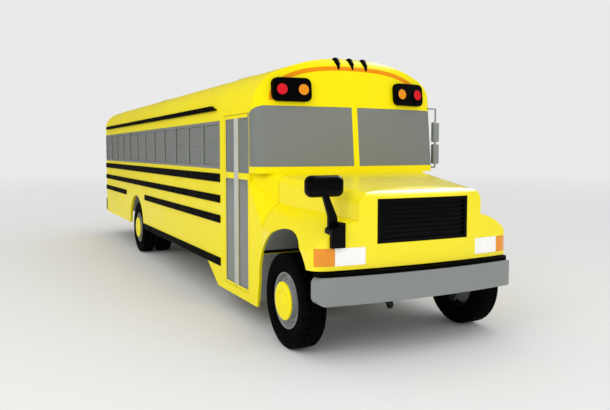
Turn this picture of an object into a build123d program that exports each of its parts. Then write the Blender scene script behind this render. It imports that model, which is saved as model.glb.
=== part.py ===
from build123d import *
import os
from math import cos, radians, sin, sqrt

# School bus: a long passenger body on a ladder frame, with a separate tilting hood.
# Millimetres. +X is forward, +Y is the bus's left, +Z is up. The origin is on the ground,
# midway between the faces of the two bumpers, on the centre plane.

# ---- Driving dimensions ----------------------------------------------------------------
LENGTH = 11330              # over both bumpers
BODY_WIDTH = 2412           # over the side sheets, without the rails
WHEELBASE = 6980
FRONT_OVERHANG = 790        # front axle to the front bumper's face
ROOF_TOP_Z = 3080
SPRING_Z = 2500             # top of the straight wall, where the roof's corner begins
CROWN_R = 2400              # the roof's crown
WALL = 50                   # outer sheet to inner lining
FLOOR_TOP_Z = 1050
FLOOR_T = 50
SKIRT_Z = 530               # lower edge of the side skirt
SHEET = 20                  # step well, wheelhouses, firewall
GAP = 6                     # between a moving panel and what it closes against

# body ends
REAR_BUMPER_DEPTH = 65
REAR_CORNER_R = 150
REAR_CAP_R = 330            # the roof's rounding down to the rear wall
FRONT_CORNER_R = 120
FRONT_CAP_R = 160
FRONT_BOW = 120             # the windshield's bow in plan
WINDSHIELD_RAKE = 0.10      # run per rise
WINDSHIELD_SETBACK = 580    # front axle to the windshield's foot on the centre plane
WINDSHIELD_BASE_Z = 1820
GLASS_T = 10
POST_HALF = 36              # the windshield's centre post
GLASS_CORNER_L = 330        # its upper corner curves down beside the door
GLASS_CORNER_H = 80

# side windows
WINDOW_LOW_Z = 1770
WINDOW_HIGH_Z = 2376
WINDOW_COUNT = 12           # in a row on each side, behind the front pillar
WINDOW_PILLAR = 46

# service door, on the right, behind the front wheel
DOOR_FRONT_SETBACK = 945    # front axle to the doorway's front edge
DOOR_WIDTH = 810
DOOR_LOW_Z = 368
DOOR_HIGH_Z = 2420
DOOR_T = 40
DOOR_BAR_LOW_Z = 1665       # crossbar between the upper and lower panes
DOOR_BAR_HIGH_Z = 1740
DOOR_RAIL = 32              # frame at the leaf's top, bottom and hinge side
DOOR_MEETING_STILE = 60
DOOR_MEETING_GAP = 12
PILLAR_WIDTH = 175          # solid wall behind the doorway
STEP_SKIRT_Z = 260          # the skirt drops here below the doorway
STEP_SKIRT_SLOPE = 444      # length of the slanted edge behind it
STEP_SKIRT_LAP = 280        # level part behind the doorway
STEP_COUNT = 3
STEP_DEPTH = 230

# emergency door and rear windows
EMERGENCY_WIDTH = 900
EMERGENCY_LOW_Z = 1070
EMERGENCY_HIGH_Z = 2440
EMERGENCY_T = 45
EMERGENCY_FRAME = 90
REAR_WINDOW_WIDTH = 460
REAR_WALL_LOW_Z = 850

# hood and fenders
HOOD_NOSE_SETBACK = 80      # bumper's face to the nose
HOOD_CLEAR = 12             # windshield's foot to the hood's rear edge
HOOD_LOW_Z = 880
HOOD_T = 25
NOSE_BOW = 85
NOSE_CORNER_R = 170
NOSE_LIP_R = 110
NOSE_LIP_Z = 1500
ARCH_R = 605
ARCH_BACK = 50              # front arch's centre behind the axle
ARCH_Z = 600
ARCH_TAIL_SLOPE = 67        # run of the slanted edge below it
LINER_T = 18
LINER_INNER_Y = 645
LINER_LOW_Z = 610           # lower edge of the liner's inner wall
LINER_REAR_GAP = 25         # lets the wall swing clear of the splash sheet
SPLASH_INNER_Y = 590        # splash sheets behind the front wheels
SPLASH_LOW_Z = 330
GRILLE_WIDTH = 1090
GRILLE_LOW_Z = 1110
GRILLE_HIGH_Z = 1540
GRILLE_BARS = 7
LAMP_LOW_Z = 922
LAMP_HIGH_Z = 1090
LAMP_INNER_Y = 668
LAMP_SPLIT_Y = 985          # white headlamp inside, amber corner lamp outside
LAMP_REAR_SETBACK = 215     # bumper's face to the lamp's rear edge on the fender
GRILLE_BAR_H = 14
GRILLE_FRAME = 34

# crossview mirror on the right fender: its bowl, and the bracket that carries it
BOWL_SETBACK = 270          # bumper's face to the middle of the bowl
BOWL_Y = (-1228, -835)
BOWL_Z = (1562, 1768)
BOWL_R = 66
BRACKET_T = 34
BRACKET_Y = (-1040, -900)
BRACKET_HIGH_Z = 1330
# the strut's outline in front view: y, z
STRUT = [(-1018, 1240), (-905, 1240), (-930, 1385), (-1030, 1610), (-1086, 1610), (-1018, 1385)]

# rails along the sides: name, low z, high z
RAIL_PROUD = 14
RAILS = [
    ("window", 1601, 1708),
    ("seat", 1338, 1435),
    ("floor", 1080, 1178),
    ("skirt", 530, 630),
]
DRIP_LOW_Z = 2510
DRIP_HIGH_Z = 2574
DRIP_PROUD = 35

# wheels
TYRE_R = 485
TYRE_W = 255
RIM_R = 286
HUB_R = 195
HUB_OUT = 150               # hub's face outboard of the wheel's middle plane
FRONT_WHEEL_Y = 1085
KINGPIN_Y = 900
KINGPIN_R = 22
KINGPIN_TILT_GAP = 0.5      # running clearance round kingpins and spindles
SPINDLE_R = 36
DUAL_OUTER_Y = 1045
DUAL_SPACING = 330
REAR_ARCH_R = 610
REAR_ARCH_RISE = 30         # rear arch's centre above the axle

# chassis
RAIL_OUTER_Y = 430
RAIL_FLANGE = 80
RAIL_LOW_Z = 690
RAIL_HIGH_Z = 945
RAIL_T = 10
TOW_EYE_R = 22
TOW_EYE_T = 25
TOW_EYE_Z = 510
TOW_LUG_R = 45
TOW_SETBACK = 110           # bumper's face to the eye
SILL_COUNT = 14
SILL_W = 60
BUMPER_LOW_Z = 562
BUMPER_HIGH_Z = 828
BUMPER_BOW = 90
BUMPER_T = 70
BUMPER_HALF = 1182
BUMPER_WRAP = 245           # how far its ends reach back
BUMPER_EDGE_R = 75          # rounding of its ends in front view
BUMPER_EDGE_OUT = 1         # how far that outline stands outside the bar's ends
REAR_BUMPER_LOW_Z = 570
REAR_BUMPER_HIGH_Z = 840
TAILPIPE_R = 50.8
TAILPIPE_BORE_R = 47
PIPE_DROP = 45              # tailpipe's top under the rear bumper
MUFFLER_R = 110
ENGINE_L = 1000
ENGINE_W = 640
ENGINE_H = 720
ENGINE_LOW_Z = 640
TANK_L = 1200
TANK_HALF = 1120            # its outer side, from the centre plane
TANK_LOW_Z = 480
TANK_HIGH_Z = 900

# roof hatches
HATCH_HALF = 300
HATCH_RIM = 22
HATCH_RIM_H = 6
HATCH_LIP = 30
HATCH_T = 26

# licence plate bracket and its holes
PLATE_W = 320
PLATE_H = 165
PLATE_T = 8
PLATE_RAISE = 110           # over the rear wall's lower edge
PLATE_HOLE_X = 178
PLATE_HOLE_Z = 121
PLATE_HOLE_R = 3.5

# warning lamps in pods at both ends of the roof
POD_PROUD = 55
POD_Y = 790
POD_WIDTH = 450
POD_HEIGHT = 265
POD_Z = 2680
POD_R = 70
LAMP_PITCH = 250
LAMP_R = 62
LAMP_THICK = 16
# tail lamps: y, z, radius
TAIL_RED = (950, 1330, 90)
TAIL_AMBER = (950, 1545, 62)
TAIL_PROUD = 22
# three identification lamps hang over the roof's front edge; each tapers down the rounding:
# angle from the top of the rounding, radius
MARKER_PITCH = 185
MARKER = [(32, 48), (54, 40), (78, 26)]
MARKER_SUNK = 22

# mirrors beside the windshield
MIRROR_SETBACK = 185        # windshield's foot to the mirrors
MIRROR_OUT = 22
MIRROR_W = 88
MIRROR_T = 70
MIRROR_HEADS = [(1832, 2085), (2110, 2362)]
MIRROR_ARM_Z = (1790, 2530)
MIRROR_ARM_R = 10

# stop arm
STOP_R = 228
STOP_T = 18
STOP_REACH = 330            # pivot to the blade's middle
STOP_SETBACK = 150          # rear edge of the doorway's station to the pivot
STOP_Z = 1290
STOP_CLEAR = 26             # rail's face to the blade's middle plane

# seats
SEAT_ROWS = 12
SEAT_PITCH = 711
SEAT_WIDTH = 915
SEAT_BACK_T = 70
SEAT_CUSHION_L = 400
SEAT_CUSHION_H = 130
SEAT_TOP_Z = 1480
SEAT_BACK_TOP_Z = 2100
SEAT_LEG = 40
DRIVER_Y = 600
DRIVER_SEAT_Z = 1550
DRIVER_BACK_Z = 2180
DRIVER_SEAT_W = 500
DRIVER_SEAT_L = 448
STEER_WHEEL_R = 220
STEER_RIM_R = 15
DASH_LOW_Z = 1400

# ---- Stations worked out from them ------------------------------------------------------
FRONT_X = LENGTH / 2
REAR_X = -LENGTH / 2
FRONT_AXLE_X = FRONT_X - FRONT_OVERHANG
REAR_AXLE_X = FRONT_AXLE_X - WHEELBASE
BODY_REAR_X = REAR_X + REAR_BUMPER_DEPTH
HALF = BODY_WIDTH / 2
INNER_HALF = HALF - WALL
SCREEN_X = FRONT_AXLE_X - WINDSHIELD_SETBACK
NOSE_X = FRONT_X - HOOD_NOSE_SETBACK
HOOD_REAR_X = SCREEN_X + HOOD_CLEAR
DOOR_FRONT_X = FRONT_AXLE_X - DOOR_FRONT_SETBACK
DOOR_REAR_X = DOOR_FRONT_X - DOOR_WIDTH
PILLAR_REAR_X = DOOR_REAR_X - PILLAR_WIDTH
SIDE_FRONT_X = DOOR_FRONT_X + 8
SIDE_REAR_X = BODY_REAR_X + REAR_CORNER_R + 10
ROOF_FRONT_X = SIDE_FRONT_X - 220
ROOF_REAR_X = BODY_REAR_X + REAR_CAP_R + 60
FIREWALL_X = HOOD_REAR_X - 185
DASH_SPLIT_Z = WINDSHIELD_BASE_Z - 75
ARCH_X = FRONT_AXLE_X - ARCH_BACK
REAR_ARCH_Z = TYRE_R + REAR_ARCH_RISE
LAMP_REAR_X = FRONT_X - LAMP_REAR_SETBACK
BUMPER_END_X = FRONT_X - BUMPER_WRAP
BOWL_X = FRONT_X - BOWL_SETBACK
MIRROR_X = SCREEN_X - MIRROR_SETBACK
HATCH_RIM_Z = ROOF_TOP_Z + HATCH_RIM_H
STOP_PIVOT_X = DOOR_REAR_X + STOP_SETBACK
STOP_Y = HALF + RAIL_PROUD + STOP_CLEAR
PLATE_Z = REAR_WALL_LOW_Z + PLATE_RAISE
FAR = 20000

os.makedirs("parts", exist_ok=True)


def box(x_low, x_high, y_low, y_high, z_low, z_high):
    centre = Pos((x_low + x_high) / 2, (y_low + y_high) / 2, (z_low + z_high) / 2)
    return centre * Box(x_high - x_low, y_high - y_low, z_high - z_low)


def tube_y(x, z, radius, y_low, y_high):
    """Cylinder along Y."""
    bar = Rot(90, 0, 0) * Cylinder(radius, y_high - y_low)
    return Pos(x, (y_low + y_high) / 2, z) * bar


def tube_x(y, z, radius, x_low, x_high):
    """Cylinder along X."""
    bar = Rot(0, 90, 0) * Cylinder(radius, x_high - x_low)
    return Pos((x_low + x_high) / 2, y, z) * bar


def rod(start, end, radius):
    """Round bar between two points."""
    line = Vector(*end) - Vector(*start)
    return extrude(Plane(origin=start, z_dir=line) * Circle(radius), amount=line.length)


def face_of(*parts):
    edges = []
    for part in parts:
        edges += part.edges()
    return make_face(edges)


def side_prism(face, y_low, y_high):
    """Extrude a side-view outline, drawn as x against z, across Y."""
    return extrude(Plane((0, y_high, 0), x_dir=(1, 0, 0), z_dir=(0, -1, 0)) * face,
                   amount=y_high - y_low)


def save(node, shape):
    solids = []
    for item in (shape if isinstance(shape, list) else [shape]):
        solids += item.solids()
    export_step(Compound(children=solids) if len(solids) > 1 else solids[0],
                "parts/" + node + ".step")


# ---- The body's outer form, and the same form moved in or out by an inset ---------------
def arch_section(inset, low_z):
    """Front view: straight walls, corner arcs and the crown arc, all tangent."""
    half = HALF - inset
    crown = CROWN_R - inset
    top = ROOF_TOP_Z - inset
    crown_z = top - crown
    rise = SPRING_Z - crown_z
    corner = (crown ** 2 - half ** 2 - rise ** 2) / (2 * (crown - half))
    corner_y = half - corner
    to_corner = Vector(corner_y, rise).normalized()
    join = Vector(crown * to_corner.X, crown_z + crown * to_corner.Y)
    between = (Vector(1, 0) + to_corner).normalized()
    mid = Vector(corner_y + corner * between.X, SPRING_Z + corner * between.Y)
    walls = Polyline((-half, SPRING_Z), (-half, low_z), (half, low_z), (half, SPRING_Z))
    left = ThreePointArc((half, SPRING_Z), (mid.X, mid.Y), (join.X, join.Y))
    crown_arc = ThreePointArc((join.X, join.Y), (0, top), (-join.X, join.Y))
    right = ThreePointArc((-join.X, join.Y), (-mid.X, mid.Y), (-half, SPRING_Z))
    return face_of(walls, left, crown_arc, right)


def upright_edges(shape, half, x_low, x_high):
    """Edges in the side walls' planes that run more up than along."""
    found = []
    for edge in shape.edges():
        size = edge.bounding_box().size
        if abs(abs(edge.center().Y) - half) < 1 and x_low < edge.center().X < x_high and size.Z > 60:
            found.append(edge)
    return found


def front_form(inset, low_z):
    """Block whose front is bowed and raked, and rolls over into the roof."""
    half = HALF - inset
    bow_r = (HALF ** 2 + FRONT_BOW ** 2) / (2 * FRONT_BOW)
    axis_x = SCREEN_X - bow_r
    foot_r = bow_r - inset
    top = ROOF_TOP_Z - inset
    roll = FRONT_CAP_R - inset
    roll_z = top - roll
    roll_r = foot_r - WINDSHIELD_RAKE * (roll_z - WINDSHIELD_BASE_Z)
    knee = roll * sin(radians(45))
    lines = Polyline((roll_r - roll, top), (0, top), (0, low_z), (foot_r, low_z),
                     (foot_r, WINDSHIELD_BASE_Z), (roll_r, roll_z))
    arc = ThreePointArc((roll_r, roll_z), (roll_r - roll + knee, roll_z + knee),
                        (roll_r - roll, top))
    profile = Plane((axis_x, 0, 0), x_dir=(1, 0, 0), z_dir=(0, -1, 0)) * face_of(lines, arc)
    drum = revolve(profile, Axis((axis_x, 0, 0), (0, 0, 1)), revolution_arc=360)
    block = drum & box(axis_x, FRONT_X, -half, half, low_z, top + 10)
    corners = upright_edges(block, half, axis_x + 1000, FRONT_X)
    return fillet(corners, FRONT_CORNER_R - inset) + box(-FAR, axis_x, -half, half, low_z, top)


def rear_form(inset, low_z):
    """Block with round rear corners that rolls over into the roof."""
    half = HALF - inset
    roll = REAR_CAP_R - inset
    x = BODY_REAR_X + inset
    top = ROOF_TOP_Z - inset
    knee = roll * (1 - sin(radians(45)))
    lines = Polyline((x + roll, top), (FRONT_X, top), (FRONT_X, low_z), (x, low_z), (x, top - roll))
    arc = ThreePointArc((x, top - roll), (x + knee, top - knee), (x + roll, top))
    block = side_prism(face_of(lines, arc), -half, half)
    corners = upright_edges(block, half, -FAR, BODY_REAR_X + roll)
    return fillet(corners, REAR_CORNER_R - inset)


CABINS = {}


def cabin(inset):
    if inset not in CABINS:
        low_z = STEP_SKIRT_Z - 60
        tube = extrude(Plane.YZ.offset(-LENGTH) * arch_section(inset, low_z), amount=2 * LENGTH)
        CABINS[inset] = tube & front_form(inset, low_z) & rear_form(inset, low_z)
    return CABINS[inset]


def skin(outside, inside):
    """Layer of the body between two insets; a negative inset stands proud."""
    return cabin(outside) - cabin(inside)


# ---- The hood's outer form --------------------------------------------------------------
# Cross-sections from the nose back to the doorway. Columns: station x; fender's half width
# and the z where it starts to curve; hood's half width and the z of its foot on the fender;
# bulge of the fender's curve; top z; rounding of the hood's upper edge; crown of its top.
HOOD_SECTIONS = [
    (NOSE_X, 1205, 1040, 735, 1335, 58, 1600, 130, 18),
    (HOOD_REAR_X, 1222, 1090, 1000, 1425, 45, 1735, 90, 18),
    (SIDE_FRONT_X, HALF, 1560, HALF - 45, 1660, 10, 1815, 60, 5),
]


def hood_section(row, inset, low_z):
    x, half, curve_z, hood_half, foot_z, bulge, top, rounding, crown = row
    half = half - inset
    hood_half = hood_half - inset
    foot_z = foot_z - inset
    top = top - inset
    start = Vector(half, curve_z)
    end = Vector(hood_half, foot_z)
    chord = end - start
    outward = Vector(chord.Y, -chord.X).normalized()
    mid = (start + end) * 0.5 + outward * bulge
    knee = rounding * (1 - sin(radians(45)))
    bottom = Polyline((-half, curve_z), (-half, low_z), (half, low_z), (half, curve_z))
    parts = [bottom]
    for side in (1, -1):
        parts.append(ThreePointArc((side * start.X, start.Y), (side * mid.X, mid.Y),
                                   (side * end.X, end.Y)))
        parts.append(Line((side * hood_half, foot_z), (side * hood_half, top - rounding)))
        parts.append(ThreePointArc((side * hood_half, top - rounding),
                                   (side * (hood_half - knee), top - knee),
                                   (side * (hood_half - rounding), top)))
    parts.append(ThreePointArc((-hood_half + rounding, top), (0, top + crown),
                               (hood_half - rounding, top)))
    return Plane.YZ.offset(x) * face_of(*parts)


def bowed_plan(x, bow, half, corner_r):
    """Plan view of a shape with a bowed front and round front corners."""
    sides = Polyline((x - bow, half), (0, half), (0, -half), (x - bow, -half))
    front = ThreePointArc((x - bow, -half), (x, 0), (x - bow, half))
    face = face_of(sides, front)
    return fillet(face.vertices().group_by(Axis.X)[-1], corner_r)


def hood_form(inset):
    low_z = STEP_SKIRT_Z - 60
    solid = loft([hood_section(row, inset, low_z) for row in HOOD_SECTIONS], ruled=True)
    plan = bowed_plan(NOSE_X - inset, NOSE_BOW, HOOD_SECTIONS[0][1] - inset, NOSE_CORNER_R - inset)
    solid = solid & (Pos(0, 0, low_z) * extrude(plan, amount=ROOF_TOP_Z))
    x = NOSE_X - inset
    lip = NOSE_LIP_R - inset
    top = NOSE_LIP_Z + NOSE_LIP_R - inset + 10
    knee = lip * sin(radians(45))
    lines = Polyline((x - lip, top), (SIDE_FRONT_X - 50, top + 400), (SIDE_FRONT_X - 50, low_z),
                     (x, low_z), (x, top - lip))
    arc = ThreePointArc((x, top - lip), (x - lip + knee, top - lip + knee), (x - lip, top))
    return solid & side_prism(face_of(lines, arc), -HALF - 200, HALF + 200)


hood_outer = hood_form(0)
hood_inner = hood_form(HOOD_T)
front_arch = tube_y(ARCH_X, ARCH_Z, ARCH_R, -FAR, FAR)

# ---- Body shell, split where its panels meet --------------------------------------------
shell = skin(0, WALL)
pane_pitch = (PILLAR_REAR_X - SIDE_REAR_X) / WINDOW_COUNT
pane_width = pane_pitch - WINDOW_PILLAR
pane_centres = [SIDE_REAR_X + pane_pitch * (index + 0.5) for index in range(WINDOW_COUNT)]
rear_arch = tube_y(REAR_AXLE_X, REAR_ARCH_Z, REAR_ARCH_R, -FAR, FAR)


def pane_hole(x_centre, width, side, low_z=WINDOW_LOW_Z, high_z=WINDOW_HIGH_Z, clearance=0):
    reach = sorted((side * (HALF + 40), side * (INNER_HALF - 40)))
    half_width = width / 2 - clearance
    return box(x_centre - half_width, x_centre + half_width, reach[0], reach[1],
               low_z + clearance, high_z - clearance)


driver_window_x = (DOOR_REAR_X + SIDE_FRONT_X) / 2 + 10
driver_window_w = DOOR_WIDTH - 60
bumper_notch = box(-FAR, SIDE_REAR_X - 2, -FAR, FAR, 0, REAR_WALL_LOW_Z)

side_slab = box(SIDE_REAR_X, SIDE_FRONT_X, 0, FAR, SKIRT_Z, SPRING_Z)
left_holes = [pane_hole(x_centre, pane_width, 1) for x_centre in pane_centres]
left_holes.append(pane_hole(driver_window_x, driver_window_w, 1))
left_side = (shell & side_slab).cut(rear_arch, *left_holes)

skirt_outline = make_face(Polyline(
    (SIDE_REAR_X, SKIRT_Z),
    (DOOR_REAR_X - STEP_SKIRT_LAP - STEP_SKIRT_SLOPE, SKIRT_Z),
    (DOOR_REAR_X - STEP_SKIRT_LAP, STEP_SKIRT_Z),
    (SIDE_FRONT_X, STEP_SKIRT_Z),
    (SIDE_FRONT_X, SPRING_Z),
    (SIDE_REAR_X, SPRING_Z),
    close=True))
doorway = box(DOOR_REAR_X, DOOR_FRONT_X, -FAR, 0, DOOR_LOW_Z - GAP, DOOR_HIGH_Z + GAP)
right_holes = [pane_hole(x_centre, pane_width, -1) for x_centre in pane_centres]
right_side = (shell & side_prism(skirt_outline, -FAR, 0)).cut(rear_arch, doorway, *right_holes)
save("right_side", right_side)

hatch_places = [("front_hatch", DOOR_REAR_X - 1500), ("rear_hatch", REAR_AXLE_X - 1100)]
roof = shell & box(ROOF_REAR_X, ROOF_FRONT_X, -FAR, FAR, SPRING_Z, ROOF_TOP_Z + 10)
for node, x in hatch_places:
    reach = HATCH_HALF + HATCH_RIM
    roof += box(x - reach, x + reach, -reach, reach,
                ROOF_TOP_Z - WALL + 5, HATCH_RIM_Z)
    roof -= box(x - HATCH_HALF, x + HATCH_HALF, -HATCH_HALF, HATCH_HALF, SPRING_Z, FAR)
# the roof is laid in sheets, which meet at the hatch openings' front and rear edges
seams = [ROOF_REAR_X, ROOF_FRONT_X]
for node, x in hatch_places:
    seams += [x - HATCH_HALF, x + HATCH_HALF]
seams.sort()
save("roof", [roof & box(rear_x, front_x, -FAR, FAR, SPRING_Z, FAR)
              for rear_x, front_x in zip(seams, seams[1:])])

rear_wall = shell & box(-FAR, SIDE_REAR_X, -FAR, FAR, REAR_WALL_LOW_Z, SPRING_Z)
rear_wall += shell & box(-FAR, ROOF_REAR_X, -FAR, FAR, SPRING_Z, FAR)
emergency_half = EMERGENCY_WIDTH / 2
rear_wall -= box(-FAR, BODY_REAR_X + 3 * WALL, -emergency_half, emergency_half,
                 EMERGENCY_LOW_Z, EMERGENCY_HIGH_Z)
rear_window_y = emergency_half + 70 + REAR_WINDOW_WIDTH / 2
rear_panes = []
for side in (1, -1):
    y = side * rear_window_y
    reach = REAR_WINDOW_WIDTH / 2
    rear_wall -= box(-FAR, BODY_REAR_X + 3 * WALL, y - reach, y + reach,
                     WINDOW_LOW_Z, WINDOW_HIGH_Z)
    rear_panes.append(box(BODY_REAR_X + 8, BODY_REAR_X + 8 + GLASS_T, y - reach + 1, y + reach - 1,
                          WINDOW_LOW_Z + 1, WINDOW_HIGH_Z - 1))
plate_holes = []
for y in (-PLATE_HOLE_X / 2, PLATE_HOLE_X / 2):
    for z in (PLATE_Z - PLATE_HOLE_Z / 2, PLATE_Z + PLATE_HOLE_Z / 2):
        plate_holes.append(tube_x(y, z, PLATE_HOLE_R, BODY_REAR_X - 2 * PLATE_T,
                                  BODY_REAR_X + 2 * WALL))
rear_wall = rear_wall.cut(*plate_holes)
save("rear_wall", rear_wall)

front_section = shell & box(SIDE_FRONT_X, FRONT_X, -FAR, FAR, DASH_SPLIT_Z, SPRING_Z)
front_section += shell & box(ROOF_FRONT_X, FRONT_X, -FAR, FAR, SPRING_Z, FAR)


def glass_corner(side, clearance):
    """What the windshield's glass leaves free over its curved upper corner; it runs across the
    body's rounded corner, measured along the diagonal from the side's front edge."""
    top_z = SPRING_Z - clearance
    foot = (clearance, top_z - GLASS_CORNER_H)
    knee = (clearance + 0.3 * GLASS_CORNER_L, top_z - 0.34 * GLASS_CORNER_H)
    end = (clearance + GLASS_CORNER_L, top_z + 1)
    outline = face_of(ThreePointArc(foot, knee, end),
                      Polyline(end, (-WALL, end[1]), (-WALL, foot[1]), foot))
    diagonal = Plane((SIDE_FRONT_X, side * HALF, 0), x_dir=(1, -side, 0), z_dir=(-side, -1, 0))
    return extrude(diagonal * outline, amount=LENGTH / 4, both=True)


for side in (1, -1):
    low_y, high_y = sorted((side * POST_HALF, side * FAR))
    recess = box(SIDE_FRONT_X, FRONT_X, low_y, high_y, WINDSHIELD_BASE_Z, SPRING_Z)
    recess -= glass_corner(side, 0)
    front_section -= (cabin(-5) - cabin(GLASS_T + 4)) & recess
    low_y, high_y = sorted((side * POST_HALF, side * (INNER_HALF - 60)))
    front_section -= box(SIDE_FRONT_X, FRONT_X, low_y, high_y,
                         WINDSHIELD_BASE_Z + 30, SPRING_Z - 30)
save("front_section", front_section)

panes = []
for side in (1, -1):
    low_y, high_y = sorted((side * (POST_HALF + 1), side * FAR))
    opening = box(SIDE_FRONT_X + 1, FRONT_X, low_y, high_y, WINDSHIELD_BASE_Z + 1, SPRING_Z - 1)
    opening -= glass_corner(side, 1)
    panes.append(skin(2, 2 + GLASS_T) & opening)
save("windshield", panes)

side_panes = list(rear_panes)
for side in (1, -1):
    low_y, high_y = sorted((side * (HALF - 8), side * (HALF - 8 - GLASS_T)))
    row = [(x, pane_width) for x in pane_centres]
    if side > 0:
        row.append((driver_window_x, driver_window_w))
    for x, width in row:
        side_panes.append(box(x - width / 2 + 1, x + width / 2 - 1, low_y, high_y,
                              WINDOW_LOW_Z + 1, WINDOW_HIGH_Z - 1))
save("window_panes", side_panes)

# cowl: the panels between the doorway and the hood, round the front of the cabin
tail_low_z = STEP_SKIRT_Z - 30
tail_high_z = ARCH_Z - 30
arch_tail = side_prism(make_face(Polyline(
    (ARCH_X - ARCH_R, tail_high_z), (ARCH_X - ARCH_R - ARCH_TAIL_SLOPE, tail_low_z),
    (ARCH_X, tail_low_z), (ARCH_X, tail_high_z), close=True)), -FAR, FAR)
cowl_zone = box(SIDE_FRONT_X, HOOD_REAR_X - GAP, -FAR, FAR, STEP_SKIRT_Z, FAR)
cowl = (hood_outer - hood_inner) & cowl_zone
cowl -= cabin(-1) & box(0, FRONT_X, -FAR, FAR, DASH_SPLIT_Z, FAR)
cowl = cowl - front_arch - arch_tail
cowl -= box(0, FRONT_X, 0, FAR, 0, SKIRT_Z)
cowl = cowl.solids().sort_by(SortBy.VOLUME)[-1]
firewall = box(FIREWALL_X, FIREWALL_X + SHEET, -HALF, HALF, RAIL_HIGH_Z + 5, DASH_SPLIT_Z)
cowl += firewall & hood_inner
# splash sheets behind the front wheels; the left one ends at the skirt's lower edge
splash = tube_y(ARCH_X, ARCH_Z, ARCH_R + LINER_T, -FAR, FAR) - front_arch
splash &= box(0, ARCH_X, -FAR, FAR, tail_high_z, FAR)
splash += Pos(-LINER_T, 0, 0) * arch_tail - arch_tail
for low_y, high_y, low_z in ((SPLASH_INNER_Y, FAR, SKIRT_Z), (-FAR, -SPLASH_INNER_Y, SPLASH_LOW_Z)):
    cowl += splash & hood_outer & box(ARCH_X - ARCH_R - 2 * ARCH_TAIL_SLOPE, HOOD_REAR_X - GAP,
                                      low_y, high_y, low_z, HOOD_LOW_Z - GAP)
save("cowl", cowl)

# ---- Floor, step well and wheelhouses ----------------------------------------------------
STEP_INNER_Y = -INNER_HALF + STEP_COUNT * STEP_DEPTH
house_low_y = RAIL_OUTER_Y + 115
house_r = REAR_ARCH_R + SHEET
floor = box(BODY_REAR_X, FIREWALL_X - 2, -INNER_HALF, INNER_HALF,
            FLOOR_TOP_Z - FLOOR_T, FLOOR_TOP_Z) & cabin(WALL)
floor -= box(DOOR_REAR_X - SHEET, DOOR_FRONT_X + SHEET, -FAR, STEP_INNER_Y, 0, FAR)
for side in (1, -1):
    low_y, high_y = sorted((side * (house_low_y - SHEET), side * FAR))
    floor -= tube_y(REAR_AXLE_X, REAR_ARCH_Z, house_r + 1, low_y, high_y)

step_rise = (FLOOR_TOP_Z - DOOR_LOW_Z) / (STEP_COUNT + 0.05)
stairs = []
for index in range(STEP_COUNT):
    tread_z = DOOR_LOW_Z + 12 + step_rise * index
    inner_y = -INNER_HALF + STEP_DEPTH * (index + 1)
    lap = SHEET if index else 0
    stairs.append(box(DOOR_REAR_X, DOOR_FRONT_X, inner_y - STEP_DEPTH - lap, inner_y,
                      tread_z - SHEET, tread_z))
    riser_top = tread_z + step_rise - SHEET if index < STEP_COUNT - 1 else FLOOR_TOP_Z
    stairs.append(box(DOOR_REAR_X, DOOR_FRONT_X, inner_y - SHEET, inner_y, tread_z, riser_top))
well_low = -INNER_HALF + 2
for x in (DOOR_REAR_X - SHEET, DOOR_FRONT_X):
    cheek = box(x, x + SHEET, well_low, STEP_INNER_Y, DOOR_LOW_Z + 12 - SHEET, FLOOR_TOP_Z)
    stairs.append(cheek)
step_well = stairs[0].fuse(*stairs[1:])
save("step_well", step_well)

houses = []
for side in (1, -1):
    low_y, high_y = sorted((side * house_low_y, side * (INNER_HALF - 2)))
    drum = tube_y(REAR_AXLE_X, REAR_ARCH_Z, house_r, low_y, high_y)
    drum -= tube_y(REAR_AXLE_X, REAR_ARCH_Z, REAR_ARCH_R, low_y, high_y)
    low_y, high_y = sorted((side * house_low_y, side * (house_low_y - SHEET)))
    drum += tube_y(REAR_AXLE_X, REAR_ARCH_Z, house_r, low_y, high_y)
    houses.append(drum & box(-FAR, FAR, -FAR, FAR, RAIL_HIGH_Z - 190, FAR))
save("rear_wheelhouses", houses)

# ---- Rails, lamps and mirrors on the body --------------------------------------------------
arch_left = REAR_AXLE_X - REAR_ARCH_R
arch_right = REAR_AXLE_X + REAR_ARCH_R
rails = []
for name, low_z, high_z in RAILS:
    spans = [(BODY_REAR_X + 20, PILLAR_REAR_X)]
    if name == "floor":
        spans = [(BODY_REAR_X + 20, arch_left - 335), (arch_right + 170, PILLAR_REAR_X)]
    if name == "skirt":
        spans = [(arch_right + 5, PILLAR_REAR_X)]
    for x_low, x_high in spans:
        for side in (1, -1):
            low_y, high_y = sorted((side * (HALF - REAR_CORNER_R), side * FAR))
            rails.append(box(x_low, x_high, low_y, high_y, low_z, high_z))
drips = []
for side in (1, -1):
    low_y, high_y = sorted((side * (HALF - 200), side * FAR))
    drips.append(box(BODY_REAR_X + REAR_CAP_R + 20, PILLAR_REAR_X - 100, low_y, high_y,
                     DRIP_LOW_Z, DRIP_HIGH_Z))
body_rails = (skin(-RAIL_PROUD, 0) & Compound(children=rails)).solids()
drip_tip_x = PILLAR_REAR_X - 100
slant = side_prism(make_face(Polyline((drip_tip_x - 190, DRIP_HIGH_Z + 1), (drip_tip_x + 1, DRIP_HIGH_Z + 1),
                                      (drip_tip_x + 1, DRIP_LOW_Z + 10), close=True)), -FAR, FAR)
body_rails += ((skin(-DRIP_PROUD, 0) & Compound(children=drips)) - slant).solids()
save("body_rails", body_rails)

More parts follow.
